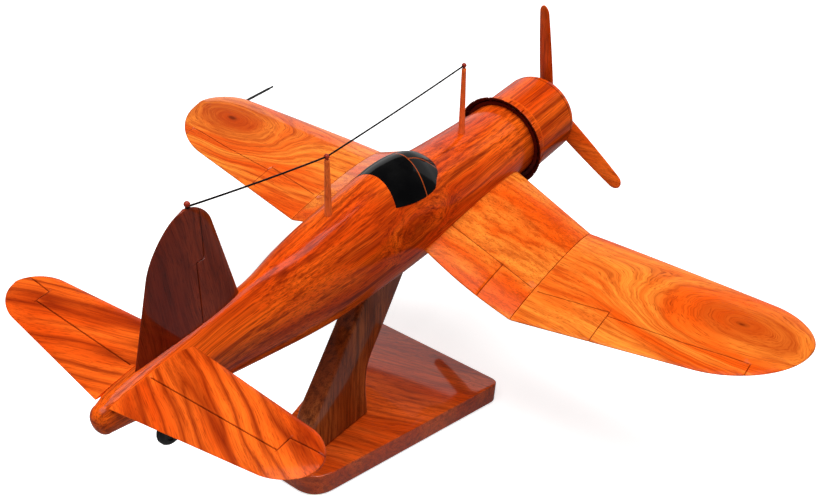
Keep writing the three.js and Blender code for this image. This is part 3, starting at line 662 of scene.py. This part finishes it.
def wood(name, dark, middle, light, along="y", skew=0.0, seed=1.0, space="aeroplane", sway=12.0, rings=0.3,
         pitch=0.0, streak=0.5, fleck=0.5, reach=1.0, knot=None, shape=(0.48, 1, 0), wrap=18, heart=0.85, gloss=0.16, coat=0.03):
    """Stained and lacquered hardwood: slow colour drift, growth rings, streaks, pores, scribed lines darkened by their
    own filling and by painted groove shade, worn edges.
    pitch adds even rings per millimetre across the grain, reach lengthens streaks, heart darkens a knot's middle,
    and the grain runs in ovals round a knot out to about the wrap distance."""
    g = Graph(name, space)
    grain = grain_space(g, along, skew, seed, sway)
    if knot:
        near = around_knot(g, knot, shape)
        length, _, depth = g.add("ShaderNodeSeparateXYZ", {0: grain}).outputs
        ovals = g.add("ShaderNodeCombineXYZ", {0: length, 1: near, 2: depth}).outputs[0]
        grain = g.blend(g.step(near, wrap, wrap * 2.2, 1, 0), grain, ovals)
    drift = g.noise(g.scaled(grain, (0.010, 0.055, 0.055), (seed * 3, seed, seed)), 1, 3, 0.55)
    growth = g.noise(g.scaled(grain, (0.006 / reach, 0.045, 0.045), (seed, 0, seed * 5)), 1, 2, 0.4)
    across = g.add("ShaderNodeSeparateXYZ", {0: grain}).outputs[1]
    turns = g.math("ADD", g.math("MULTIPLY", growth, 5 if pitch else 15), g.math("MULTIPLY", across, pitch))
    late = g.math("POWER", g.math("MULTIPLY", g.math("PINGPONG", turns, 0.5), 2), 2.4)
    bands = g.noise(g.scaled(grain, (0.009 / reach, 0.42, 0.42), (0, seed * 7, seed)), 1, 4, 0.6)
    fine = g.noise(g.scaled(grain, (0.03 / reach, 2.2, 2.2), (seed, seed, 0)), 1, 3, 0.6)
    pores = g.noise(g.scaled(grain, (0.15 / reach, 2.6, 2.6), (seed, 3, seed)), 1, 2, 0.5)

    colour = g.blend(g.step(drift, 0.36, 0.64), middle, light)
    colour = g.blend(g.math("MULTIPLY", late, rings), colour, dark)
    colour = g.blend(g.math("MULTIPLY", g.step(bands, 0.44, 0.70), streak), colour, dark)
    colour = g.blend(g.math("MULTIPLY", g.step(fine, 0.46, 0.70), streak * 0.8), colour, tone(dark, 0.8))
    colour = g.blend(g.math("MULTIPLY", g.step(pores, 0.56, 0.70), fleck), colour, tone(dark, 0.6))
    if knot:
        colour = g.blend(g.step(near, wrap * 0.5, wrap * 0.85, 0.7 * heart, 0), colour, dark)
        colour = g.blend(g.step(near, 0.5, 2.6, heart, 0), colour, tone(dark, 0.3))
    colour = g.blend(g.math("MULTIPLY", g.edges(), 0.3), colour, tone(light, 1.15))
    # Darkens along the scribe mark: the dark filling of the scribed lines, plus painted shade in the grooves and in the
    # notches between cowl flaps.
    colour = g.blend(g.math("MULTIPLY", g.attribute("scribe"), 0.8), colour, tone(dark, 0.25))
    colour = g.blend(g.attribute("inside"), colour, g.blend(fine, rgb(0.012, 0.001, 0.001), rgb(0.075, 0.005, 0.002)))

    smear = g.noise(g.position, 0.09, 3)
    rough = g.math("ADD", g.math("MULTIPLY", smear, 0.10), gloss - 0.05)
    height = g.math("SUBTRACT", g.math("MULTIPLY", fine, 0.5), g.step(pores, 0.58, 0.72))
    return g.finish(colour, rough, height, 0.12, Coat_Weight=coat, Coat_Roughness=0.05, Specular_IOR_Level=0.05)


def lacquer(name, colour, accent, space="aeroplane", gloss=0.12, spread=0.06, wear=0.35):
    """Black or coloured gloss paint with brush streaks, dust, and the copper inlay where the mesh marks it."""
    g = Graph(name, space)
    cloud = g.noise(g.position, spread, 4, 0.6)
    dust = g.noise(g.position, 1.6, 2)
    tint = g.blend(g.step(cloud, 0.35, 0.7), colour, accent)
    tint = g.blend(g.math("MULTIPLY", g.step(dust, 0.66, 0.74), 0.25), tint, tone(accent, 3))
    tint = g.blend(g.math("MULTIPLY", g.edges(), wear), tint, tone(accent, 4))
    inlay = g.blend(g.noise(g.position, 0.4), rgb(0.25, 0.035, 0.006), rgb(0.6, 0.11, 0.02))
    tint = g.blend(g.attribute("inlay"), tint, inlay)
    rough = g.math("ADD", g.math("MULTIPLY", cloud, 0.08), gloss - 0.03)
    return g.finish(tint, rough, g.math("ADD", cloud, g.math("MULTIPLY", dust, 0.2)), 0.05,
                    Coat_Weight=0.08, Coat_Roughness=0.04, Specular_IOR_Level=0.08)


def rubber(name):
    g = Graph(name, "aeroplane")
    grime = g.noise(g.position, 0.5, 5, 0.65)
    grit = g.noise(g.position, 4, 3)
    tint = g.blend(g.step(grime, 0.4, 0.7), rgb(0.008, 0.008, 0.009), rgb(0.03, 0.028, 0.025))
    tint = g.blend(g.math("MULTIPLY", g.edges(), 0.3), tint, rgb(0.07, 0.065, 0.06))
    return g.finish(tint, g.math("ADD", g.math("MULTIPLY", grime, 0.3), 0.3), grit, 0.2, Specular_IOR_Level=0.3)


def metal(name, space):
    """Bright steel with lengthwise scratches and dull patches."""
    g = Graph(name, space)
    scratch = g.noise(g.scaled(g.position, (6, 0.3, 6)), 1, 4, 0.7)
    patch = g.noise(g.position, 0.35, 4)
    tint = g.blend(g.step(patch, 0.4, 0.65), rgb(0.55, 0.56, 0.58), rgb(0.32, 0.31, 0.30))
    tint = g.blend(g.math("MULTIPLY", g.edges(), 0.5), tint, rgb(0.8, 0.8, 0.8))
    rough = g.math("ADD", g.math("MULTIPLY", scratch, 0.25), 0.2)
    return g.finish(tint, rough, scratch, 0.1, Metallic=1.0)


def dowel_wood(name, along, space="aeroplane"):
    """Pale unfinished birch: faint grain, end nicks and glue stains."""
    g = Graph(name, space)
    grain = grain_space(g, along, 0, 4)
    stripe = g.noise(g.scaled(grain, (0.05, 1.8, 1.8)), 1, 4)
    stain = g.noise(g.position, 0.2, 3)
    tint = g.blend(g.step(stripe, 0.35, 0.7), rgb(0.62, 0.43, 0.24), rgb(0.48, 0.30, 0.15))
    tint = g.blend(g.step(stain, 0.6, 0.75, 0, 0.4), tint, rgb(0.30, 0.16, 0.06))
    tint = g.blend(g.math("MULTIPLY", g.edges(), 0.3), tint, rgb(0.75, 0.58, 0.38))
    return g.finish(tint, g.math("ADD", g.math("MULTIPLY", stripe, 0.2), 0.5), stripe, 0.3)


def felt_cloth(name):
    g = Graph(name, "stand")
    clump = g.noise(g.position, 0.8, 5, 0.7, distortion=1.0)
    fibre = g.noise(g.scaled(g.position, (5, 5, 5)), 1, 4, 0.8, distortion=2.0)
    tint = g.blend(clump, rgb(0.006, 0.03, 0.014), rgb(0.02, 0.075, 0.035))
    tint = g.blend(g.step(fibre, 0.55, 0.75, 0, 0.5), tint, rgb(0.06, 0.13, 0.08))
    tint = g.blend(g.math("MULTIPLY", g.edges(), 0.4), tint, rgb(0.05, 0.10, 0.07))
    return g.finish(tint, 0.95, fibre, 0.6, Sheen_Weight=0.4, Specular_IOR_Level=0.1)


RED = dict(dark=rgb(0.16, 0.009, 0.001), middle=rgb(0.72, 0.062, 0.002), light=rgb(1.0, 0.14, 0.008))
GOLD = dict(dark=rgb(0.40, 0.034, 0.001), middle=rgb(0.86, 0.10, 0.004), light=rgb(1.0, 0.27, 0.03))
STAB_RED = dict(dark=rgb(0.20, 0.012, 0.001), middle=rgb(0.70, 0.066, 0.003), light=rgb(0.98, 0.15, 0.012))
FIN_BROWN = dict(dark=rgb(0.05, 0.003, 0.001), middle=rgb(0.16, 0.015, 0.004), light=rgb(0.26, 0.032, 0.008))
ARM_BROWN = dict(dark=rgb(0.05, 0.006, 0.001), middle=rgb(0.28, 0.045, 0.007), light=rgb(0.46, 0.10, 0.020))
BASE_RED = dict(dark=rgb(0.16, 0.016, 0.002), middle=rgb(0.62, 0.060, 0.003), light=rgb(0.80, 0.11, 0.012))
MAROON = dict(dark=rgb(0.012, 0.001, 0.001), middle=rgb(0.05, 0.003, 0.002), light=rgb(0.10, 0.008, 0.003))
MAST_RED = dict(dark=rgb(0.45, 0.05, 0.008), middle=rgb(1.0, 0.16, 0.03), light=rgb(1.0, 0.22, 0.04))
BLADE_RED = dict(dark=rgb(0.22, 0.016, 0.002), middle=rgb(0.76, 0.085, 0.005), light=rgb(0.95, 0.16, 0.015))


# ---------- the aeroplane ----------

def build_fuselage():
    fuselage = make_object("fuselage_carved", *loft(fuselage_rings()), crease=60)
    socket = make_object("socket_tool", *rod((0, PEG.y, 60), (0, PEG.y, PEG.top), [(0, PEG.radius), (1, PEG.radius)]),
                         place=stand_to_row)
    subtract(fuselage, socket)
    soften(fuselage.data, 60)
    material = wood("fuselage_wood", **RED, along="y", seed=3.1, sway=7, rings=0.35, streak=0.75, fleck=0.5, reach=2.5,
                    knot=(-20, 103, 12), shape=(1, 0.55, 1), wrap=9, heart=0.4, coat=0.12)
    finish_piece(fuselage, "fuselage", material)


def build_canopy():
    points, faces = canopy_mesh()
    canopy = make_object("canopy_gloss", points, faces, crease=50, marks={"inlay": inlay_mask(points)})
    material = lacquer("canopy_black", rgb(0.0012, 0.0012, 0.0015), rgb(0.004, 0.004, 0.004), gloss=0.08, wear=0.05)
    finish_piece(canopy, "canopy", material)


def build_cowl():
    centre = (0, -COWL.drop)
    points, faces = lathe(cowl_profile(), centre=centre)
    radial = np.hypot(points[:, 0], points[:, 2] + COWL.drop)
    groove = (np.abs(points[:, 1] - COWL.line) < SCRIBE.half) & (radial < COWL.radius - 0.05)
    cowl = make_object("cowling_turned", points, faces, crease=35, marks={"scribe": groove})
    material = wood("cowl_wood", **RED, along="y", seed=7.7, sway=4, streak=0.7, reach=1.5)
    finish_piece(cowl, "cowling", material)
    profile = np.array(ring_profile())
    points, faces = lathe(profile[:, :2], notch=ring_notch)
    inside = np.tile(profile[:, 2], len(points) // len(profile))
    turns = np.arctan2(points[:, 2], points[:, 0]) % (2 * math.pi)
    # Marks the V notches between flaps so the wood darkens them: painted shade in the gaps between flaps.
    notch_shade = [ring_notch(turn, np.array([[0, y]]))[0] > 0.3 for turn, y in zip(turns, points[:, 1])]
    ring = make_object("flap_ring_turned", points, faces, crease=35, marks={"inside": inside, "scribe": notch_shade})
    finish_piece(ring, "cowl_flap_ring", wood("ring_wood", **RED, along="y", seed=7.7, sway=4, streak=0.7))
    baffle = make_object("baffle_turned", *lathe([
        (22, -3), (COWL.radius - 0.6, -3), (COWL.radius - 0.4, -2.8), (COWL.radius + 0.7, -1.5),
        (COWL.radius + 0.6, -1.4), (22, -1.4)]))
    finish_piece(baffle, "cowl_baffle", wood("baffle_wood", **MAROON, along="x", seed=5.2, streak=0.3))
    build_engine()


def build_engine():
    """The engine face in the cowl's mouth: a plate, nine finned cylinders and a domed crankcase."""
    back = COWL.front + COWL.recess - 0.3
    parts = [lathe([(0, back), (COWL.open - 0.3, back), (COWL.open - 0.3, back - 1.6), (7.5, back - 1.6),
                    (7.3, back - 3.4), (6.4, back - 4.8), (4.4, back - 6.0), (2.2, back - 6.4), (0, back - 6.4)],
                   count=72, centre=(0, -COWL.drop))]
    fins = [(share, 2.1 if i % 2 else 1.75) for i, share in enumerate(np.linspace(0, 1, 25))]
    for i in range(9):
        angle = 2 * math.pi * i / 9
        inner, outer = ((r * math.cos(angle), back - 2, r * math.sin(angle) - COWL.drop) for r in (6, COWL.open - 1.2))
        parts.append(rod(inner, outer, fins, count=20))
    engine = make_object("engine_face_cast", *joined(parts), crease=35)
    finish_piece(engine, "engine_face",
                 lacquer("engine_black", rgb(0.012, 0.012, 0.013), rgb(0.03, 0.028, 0.026), gloss=0.3, spread=0.4))


def joined(parts):
    """Several (points, faces) shells as one."""
    points, faces, start = [], [], 0
    for part_points, part_faces in parts:
        points.append(part_points)
        faces += [tuple(start + i for i in face) for face in part_faces]
        start += len(part_points)
    return np.concatenate(points), faces


def build_wings():
    seam = 0.22
    inner_spans = span_stations(12, FOLD.x - seam, INNER_LINES)
    outer_spans = span_stations(FOLD.x + seam, TIP.x, OUTER_LINES, closing=172)
    looks = {("left", "inner"): dict(seed=11.3, skew=4, coat=0.5), ("right", "inner"): dict(seed=6.4, skew=-9),
             ("left", "outer"): dict(seed=14.9, skew=-2, coat=0.6), ("right", "outer"): dict(seed=9.6, skew=2)}
    for name, side in (("left", 1), ("right", -1)):
        for part, at, spans, lines in (("inner", inner_wing_at, inner_spans, INNER_LINES),
                                       ("outer", outer_wing_at, outer_spans, OUTER_LINES)):
            points, faces, share = panel(at, spans, lines, level_place(side, INCIDENCE_RISE))
            wing = make_object(f"{name}_{part}_wing_carved", points, faces, marks={"scribe": share}, crease=50)
            knot = (side * 163.6, 49.8, 0) if part == "outer" else None
            material = wood(f"{name}_{part}_wing_wood", **GOLD, along="x", knot=knot, rings=0.45, pitch=0.12, streak=0.6,
                            fleck=0.6, **looks[name, part])
            finish_piece(wing, f"{name}_{part}_wing", material)
    pitot = make_object("pitot_tube_drawn", *rod(
        (PITOT.x, PITOT.root_y, PITOT.z), (PITOT.x - 1, PITOT.tip_y, PITOT.z - 0.2),
        [(0, 0.8), (0.86, 0.8), (0.88, 0.62), (0.985, 0.6), (1, 0.42)], count=24))
    finish_piece(pitot, "pitot_tube", lacquer("pitot_black", rgb(0.01, 0.01, 0.01), rgb(0.02, 0.02, 0.02)))


def build_tail():
    for name, side, tip, seed, skew in (("left", 1, STAB.left_tip, 21.3, -18), ("right", -1, STAB.right_tip, 25.8, 27)):
        spans = span_stations(4, tip, STAB_LINES, closing=71)
        points, faces, share = panel(stab_at(tip), spans, STAB_LINES, level_place(side, 0))
        stab = make_object(f"{name}_stabilizer_carved", points, faces, marks={"scribe": share}, crease=50)
        material = wood(f"{name}_stabilizer_wood", **STAB_RED, along="x", skew=skew, seed=seed,
                        rings=0.8, pitch=0.10, streak=0.5, fleck=0.4)
        finish_piece(stab, f"{name}_stabilizer", material)
    heights = span_stations(FIN.root_z, FIN.top_z, FIN_LINES, step=1.5, closing=66)
    points, faces, share = panel(fin_at, heights, FIN_LINES, fin_place)
    fin = make_object("fin_carved", points, faces, marks={"scribe": share}, crease=50)
    material = wood("fin_wood", **FIN_BROWN, along="z", seed=17.2, streak=0.5, coat=0.4)
    finish_piece(fin, "fin", material)


def ball_pin(top):
    """A ball-headed pin; the aerial's thread, tied under the ball, is wound on in build_wires."""
    x, y, z = top
    ball = z + MAST.ball + 0.3
    head = [(0.5 - 0.5 * math.cos(a), MAST.ball * math.sin(a)) for a in np.linspace(0.02, math.pi - 0.02, 25)]
    parts = [rod((x, y, ball - MAST.ball), (x, y, ball + MAST.ball), head, count=32),
             rod((x, y, z - 4), (x, y, ball - MAST.ball + 0.1), [(0, MAST.pin), (1, MAST.pin)], count=16)]
    return joined(parts)


def build_aerial():
    masts = (("forward", FORWARD_MAST, 31.0, 0.25), ("aft", AFT_MAST, 37.0, 0.6))
    for name, (foot, top), seed, streak in masts:
        turned = [(-0.1, MAST.root), (0, MAST.root), (0.03, MAST.root + 0.12), (0.06, MAST.root - 0.05),
                  (0.5, mix(MAST.root, MAST.tip, 0.5)), (0.96, MAST.tip), (0.985, MAST.tip + 0.08),
                  (1, MAST.tip - 0.25)]
        mast = make_object(f"{name}_mast_turned", *rod(foot, top, turned), crease=50)
        material = wood(f"{name}_mast_wood", **MAST_RED, along="z", seed=seed, streak=streak, fleck=0.4)
        finish_piece(mast, f"{name}_mast", material)
    red = lacquer("pin_paint", rgb(0.25, 0.02, 0.01), rgb(0.32, 0.035, 0.015), spread=0.5)
    for node, top in (("forward_mast_pin", FORWARD_MAST[1]), ("aft_mast_pin", AFT_MAST[1]), ("fin_pin", FIN_PIN)):
        finish_piece(make_object(f"{node}_turned", *ball_pin(top), crease=50), node, red)
    build_wires()


def build_wires():
    """Two drawn wires that sag very slightly, each end wound round its pin."""
    black = lacquer("wire_black", rgb(0.002, 0.002, 0.002), rgb(0.006, 0.006, 0.006), gloss=0.45, spread=1.0, wear=0.05)
    ties = [np.array(top) + (0, 0, WIRE.tie_rise) for top in (FORWARD_MAST[1], AFT_MAST[1])]
    ties.append(np.array(FIN_PIN) + (0, 0, 0.5))
    for node, start, end in (("aerial_wire_front", ties[0], ties[1]), ("aerial_wire_rear", ties[1], ties[2])):
        path = []
        for t in np.linspace(0, 1, 80):
            drop = WIRE.sag * 4 * t * (1 - t)
            path.append(mix(start, end, t) - (0, 0, drop))
        wire = make_object(f"{node}_drawn", *joined([
            loft(sweep(path, WIRE.radius * 0.85, 14)), loft(winding(start)), loft(winding(end))]), crease=60)
        finish_piece(wire, node, black)


def winding(tie):
    """Two close turns of thread round a pin at the tie."""
    turns = np.linspace(0, 4 * math.pi, 60)
    reach = MAST.pin + 0.32
    path = np.stack([reach * np.cos(turns), tie[1] + reach * np.sin(turns), tie[2] - 0.55 + turns * 0.09], 1)
    return sweep(path, 0.26, 10)


def build_tail_wheel():
    y, z, half = WHEEL.y, WHEEL.z, WHEEL.half
    outline = [(y - 9, 8), (y - 9, 3)] + [(y - 2.4, z - 1.6)] + quadratic((y - 2.4, z - 1.6), (y, z - 3), (y + 2, z - 1.4), 10)
    outline += [(y + 1.4, 3), (y + 1.4, 8)]
    plate = rounded_plate(outline, -(half + 2.2), half + 2.2, 0.6)
    fork = make_object("tail_wheel_fork_carved", plate[0][:, [2, 0, 1]], plate[1], crease=40)
    slot = make_object("fork_tool", *lathe_across([(0, -(half + 0.7)), (WHEEL.radius + 1.2, -(half + 0.7)),
                                                   (WHEEL.radius + 1.2, half + 0.7), (0, half + 0.7)], y, z))
    subtract(fork, slot)
    soften(fork.data, 40)
    finish_piece(fork, "tail_wheel_fork",
                 lacquer("fork_black", rgb(0.01, 0.009, 0.009), rgb(0.02, 0.018, 0.017), gloss=0.2))
    tyre = [(WHEEL.bore, -half + 0.5), (2.2, -half + 0.5), (2.5, -half + 0.9), (3.6, -half + 0.9), (3.9, -half + 0.1)]
    tyre += arc((WHEEL.radius - 1.9, -half + 1.9), 1.9, -90, 0, 9)
    tyre += [(WHEEL.radius, -0.8), (WHEEL.radius - 0.25, -0.6), (WHEEL.radius - 0.25, 0.6), (WHEEL.radius, 0.8)]
    tyre += arc((WHEEL.radius - 1.9, half - 1.9), 1.9, 0, 90, 9)
    tyre += [(3.9, half - 0.1), (3.6, half - 0.9), (2.5, half - 0.9), (2.2, half - 0.5), (WHEEL.bore, half - 0.5)]
    wheel = make_object("tail_wheel_turned", *lathe_across(tyre, y, z), crease=35)
    finish_piece(wheel, "tail_wheel", rubber("tyre_rubber"))


def lathe_across(profile, y, z):
    """Turns a (radius, x) profile about a line along X through y, z."""
    points, faces = lathe(profile, count=96)
    return np.stack([points[:, 1], points[:, 0] + y, points[:, 2] + z], 1), faces


def blade_rings(degrees):
    """A tapered blade that runs out from the hub along its own angle and rakes back a little."""
    angle, pitch = math.radians(degrees), math.radians(PROP.pitch)
    outward = np.array([math.cos(angle), 0, math.sin(angle)])
    across = np.array([math.sin(angle), 0, -math.cos(angle)])
    turns = np.linspace(0, 2 * math.pi, 40, endpoint=False)
    rings = []
    for t in list(np.linspace(0.1, 0.93, 50)) + [mix(0.93, 0.999, math.sin(a)) for a in np.linspace(0.1, 1.5, 14)]:
        closing = math.sqrt(1 - max(0, (t - 0.93) / 0.07) ** 2)
        chord = (PROP.chord - PROP.taper * t ** 2.2) * min(1, 0.5 + 2 * t) * closing
        thick = mix(PROP.thick, 1.3, t) * (0.4 + 0.6 * closing)
        u = chord / 2 * np.cos(turns)
        v = thick / 2 * np.sin(turns) * np.where(np.sin(turns) > 0, 1.0, 0.85)
        centre = outward * t * PROP.radius + (0, PROP.y + PROP.rake * t, -COWL.drop)
        rings.append(centre + np.outer(u * math.cos(pitch) - v * math.sin(pitch), across)
                     - np.outer(u * math.sin(pitch) + v * math.cos(pitch), (0, 1, 0)))
    return rings


def build_propeller():
    centre = (0, -COWL.drop)
    rear, nose = PROP.y + 5, PROP.y - 4.4
    hub = [(1.9, nose), (PROP.hub - 1, nose)] + arc((PROP.hub - 1, nose + 1), 1, -90, 0, 6)
    hub += [(PROP.hub, rear - 0.8)] + arc((PROP.hub - 0.8, rear - 0.8), 0.8, 0, 90, 5) + [(1.9, rear)]
    finish_piece(make_object("propeller_hub_turned", *lathe(hub, 96, centre)), "propeller_hub",
                 wood("hub_wood", **FIN_BROWN, along="y", seed=41, streak=0.4))
    for i, degrees in enumerate(PROP.angles, 1):
        blade = make_object(f"propeller_blade_{i}_carved", *loft(blade_rings(degrees)), crease=60)
        along, skew = ("z", 0) if i == 1 else ("x", -degrees)
        material = wood(f"blade_{i}_wood", **BLADE_RED, along=along, seed=43 + 2 * i, streak=0.5, fleck=0.4)
        finish_piece(blade, f"propeller_blade_{i}", material)
    tip = nose - 0.28
    cap = [(0, tip - 5.4), (0.8, tip - 5.3), (1.6, tip - 5), (2.4, tip - 4.3), (3, tip - 3.4), (3.5, tip - 2),
           (3.8, tip - 0.4), (3.7, tip), (1.6, tip), (1.6, COWL.front + COWL.recess + 5), (0, COWL.front + COWL.recess + 5)]
    finish_piece(make_object("propeller_shaft_turned", *lathe(cap, 64, centre), crease=35), "propeller_shaft",
                 metal("shaft_steel", "aeroplane"))


# ---------- the stand ----------

def inset_outline(outline, by):
    """The closed outline moved inwards by a distance, corners mitred."""
    points = np.array(outline, float)
    ahead = np.roll(points, -1, 0) - points
    ahead /= np.linalg.norm(ahead, axis=1)[:, None]
    normal = np.stack([-ahead[:, 1], ahead[:, 0]], 1)
    before = np.roll(normal, 1, 0)
    area = np.sum(points[:, 0] * np.roll(points[:, 1], -1) - np.roll(points[:, 0], -1) * points[:, 1])
    mitre = (normal + before) / (1 + np.sum(normal * before, 1))[:, None]
    return points + np.sign(area) * by * mitre


def rounded_plate(outline, low, high, edge, steps=6):
    """A plate from a closed (u, v) outline between two w levels, its rims rounded by edge."""
    rings = []
    for level, sign in ((low, 1), (high, -1)):
        turns = np.linspace(0, math.pi / 2, steps)
        for turn in turns if sign > 0 else turns[::-1]:
            flat = inset_outline(outline, edge * (1 - math.sin(turn)))
            w = level + sign * edge * (1 - math.cos(turn))
            rings.append(np.column_stack([flat, np.full(len(flat), w)]))
    return loft(rings)


def base_outline():
    """A trapezoid with rounded corners, wide end to the nose."""
    corners = [((-BASE.front_half, -BASE.front), BASE.front_radius), ((BASE.front_half, -BASE.front), BASE.front_radius),
               ((BASE.rear_half, BASE.rear), BASE.rear_radius), ((-BASE.rear_half, BASE.rear), BASE.rear_radius)]
    outline = []
    for i, (at, radius) in enumerate(corners):
        at = np.array(at, float)
        previous, following = np.array(corners[i - 1][0], float), np.array(corners[(i + 1) % 4][0], float)
        enter = at + (previous - at) / np.linalg.norm(previous - at) * radius
        leave = at + (following - at) / np.linalg.norm(following - at) * radius
        outline += [tuple(enter)] + quadratic(enter, at, leave, 14)
    return outline


def arm_outline():
    """The arm's side view: a slanted post that leans forward to the belly and stands on a broad foot."""
    foot = (54, BASE.top)
    outline = [(5.5, BASE.top), foot] + quadratic(foot, (52.5, 32), (45, 42), 20)
    outline += quadratic((45, 42), (34, 57), (6, ARM.top), 24)
    outline += [(-24.5, ARM.top)]
    outline += [(mix(-24.5, 4, t), mix(ARM.top, 53, t)) for t in np.linspace(0, 1, 12)[1:]]
    outline += quadratic((4, 53), (9, 45), (7.5, 30), 14)
    outline += [(6.5, 22)]
    return outline


def build_stand():
    base = make_object("base_plate_carved", *rounded_plate(base_outline(), BASE.bottom, BASE.top, BASE.edge),
                       place=stand_to_row, crease=35)
    finish_piece(base, "base_plate",
                 wood("base_wood", **BASE_RED, along="x", skew=-20, seed=51, space="stand", streak=0.5, coat=1.0))
    points, faces = rounded_plate(arm_outline(), -ARM.half, ARM.half, ARM.edge)
    arm = make_object("stand_arm_carved", points[:, [2, 0, 1]], faces, place=stand_to_row, crease=35)
    belly = make_object("belly_tool", *loft(fuselage_rings(grow=0.3)))
    subtract(arm, belly)
    soften(arm.data, 35)
    finish_piece(arm, "stand_arm",
                 wood("arm_wood", **ARM_BROWN, along="z", seed=57, space="stand", streak=0.7, coat=0.6))


def paint_hidden_nodes():
    """CAD nodes that stay as they are: joinery inside the model and hardware under it."""
    steel = metal("hidden_steel", "stand")
    finishes = {
        "felt_pad": (felt_cloth("felt"), "felt"),
        "mounting_peg": (dowel_wood("peg_birch", "z", "stand"), "birch_dowel"),
        "base_screw_1": (steel, "steel"),
        "base_screw_2": (steel, "steel"),
        "tail_wheel_axle": (metal("axle_steel", "aeroplane"), "steel"),
    }
    across = dowel_wood("dowel_birch", "x")
    upright = dowel_wood("fin_dowel_birch", "z")
    for node in ("left_root_dowel", "right_root_dowel", "left_fold_dowel", "right_fold_dowel", "stabilizer_dowel"):
        finishes[node] = (across, "birch_dowel")
    for node in ("fin_dowel_1", "fin_dowel_2"):
        finishes[node] = (upright, "birch_dowel")
    for node, (material, slot) in finishes.items():
        piece = frame["nodes"][node]
        piece.data.materials.clear()
        piece.data.materials.append(material)


# ---------- the studio ----------

def build_floor():
    """A pale floor that reads as white to the camera but keeps a soft shadow under the stand."""
    reach = 4.0
    mesh = bpy.data.meshes.new("studio_floor")
    mesh.from_pydata([(-reach, -reach, 0), (reach, -reach, 0), (reach, reach, 0), (-reach, reach, 0)], [], [(0, 1, 2, 3)])
    floor = bpy.data.objects.new("studio_floor", mesh)
    bpy.context.scene.collection.objects.link(floor)
    material = bpy.data.materials.new("floor_paper")
    material.use_nodes = True
    tree = material.node_tree
    tree.nodes.clear()
    seen = tree.nodes.new("ShaderNodeLightPath")
    shade = tree.nodes.new("ShaderNodeMapRange")
    shade.inputs["To Min"].default_value = 0.22
    shade.inputs["To Max"].default_value = 0.80
    paper = tree.nodes.new("ShaderNodeBsdfDiffuse")
    glow = tree.nodes.new("ShaderNodeEmission")
    lift = tree.nodes.new("ShaderNodeMapRange")
    lift.inputs["To Min"].default_value = 0.10
    lift.inputs["To Max"].default_value = 0.7
    both = tree.nodes.new("ShaderNodeAddShader")
    out = tree.nodes.new("ShaderNodeOutputMaterial")
    tree.links.new(seen.outputs["Is Camera Ray"], shade.inputs["Value"])
    tree.links.new(shade.outputs[0], paper.inputs["Color"])
    tree.links.new(seen.outputs["Is Camera Ray"], lift.inputs["Value"])
    tree.links.new(lift.outputs[0], glow.inputs["Strength"])
    tree.links.new(paper.outputs[0], both.inputs[0])
    tree.links.new(glow.outputs[0], both.inputs[1])
    tree.links.new(both.outputs[0], out.inputs["Surface"])
    mesh.materials.append(material)


def build_world():
    """Dim grey surroundings, white where the camera sees them directly."""
    world = bpy.data.worlds.new("studio")
    world.use_nodes = True
    tree = world.node_tree
    background = tree.nodes["Background"]
    seen = tree.nodes.new("ShaderNodeLightPath")
    level = tree.nodes.new("ShaderNodeMapRange")
    level.inputs["To Min"].default_value = 0.12
    level.inputs["To Max"].default_value = 1.0
    tree.links.new(seen.outputs["Is Camera Ray"], level.inputs["Value"])
    tree.links.new(level.outputs[0], background.inputs["Strength"])
    background.inputs["Color"].default_value = rgb(1, 1, 1)
    bpy.context.scene.world = world


def area_light(name, place, target, size, power, colour=(1, 1, 1)):
    data = bpy.data.lights.new(name, "AREA")
    data.shape = "RECTANGLE"
    data.size, data.size_y = size
    data.energy = power
    data.color = colour
    light = bpy.data.objects.new(name, data)
    light.location = place
    light.rotation_mode = "QUATERNION"
    light.rotation_quaternion = (Vector(target) - Vector(place)).to_track_quat("-Z", "Y")
    light.visible_camera = False
    bpy.context.scene.collection.objects.link(light)


def build_lights():
    area_light("overhead", (-0.12, 0.22, 1.35), (0, 0, 0.1), (1.1, 1.1), 24)
    area_light("backdrop", (0.9, -1.6, 0.745), (0.9, 0, 0.745), (3.4, 1.49), 13)
    area_light("spark", (-0.55, 1.15, 1.35), (0, 0.05, 0.1), (0.10, 0.10), 1.6)


def build_camera():
    """The photographed view: from the starboard quarter astern, above, with a slight roll."""
    right = Vector((-0.80012, -0.59741, 0.05392))
    up = Vector((0.35428, -0.39812, 0.84616))
    back = right.cross(up)
    data = bpy.data.cameras.new("camera")
    data.lens = 42.58
    data.sensor_width = 36
    camera = bpy.data.objects.new("camera", data)
    camera.matrix_world = Matrix.Translation((-0.244611, 0.319587, 0.365905)) @ Matrix((right, up, back)).transposed().to_4x4()
    bpy.context.scene.collection.objects.link(camera)
    bpy.context.scene.camera = camera


build_fuselage()
build_canopy()
build_cowl()
build_wings()
build_tail()
build_aerial()
build_tail_wheel()
build_propeller()
build_stand()
paint_hidden_nodes()
build_floor()
build_world()
build_lights()
build_camera()
bpy.context.scene.view_settings.view_transform = "Standard"
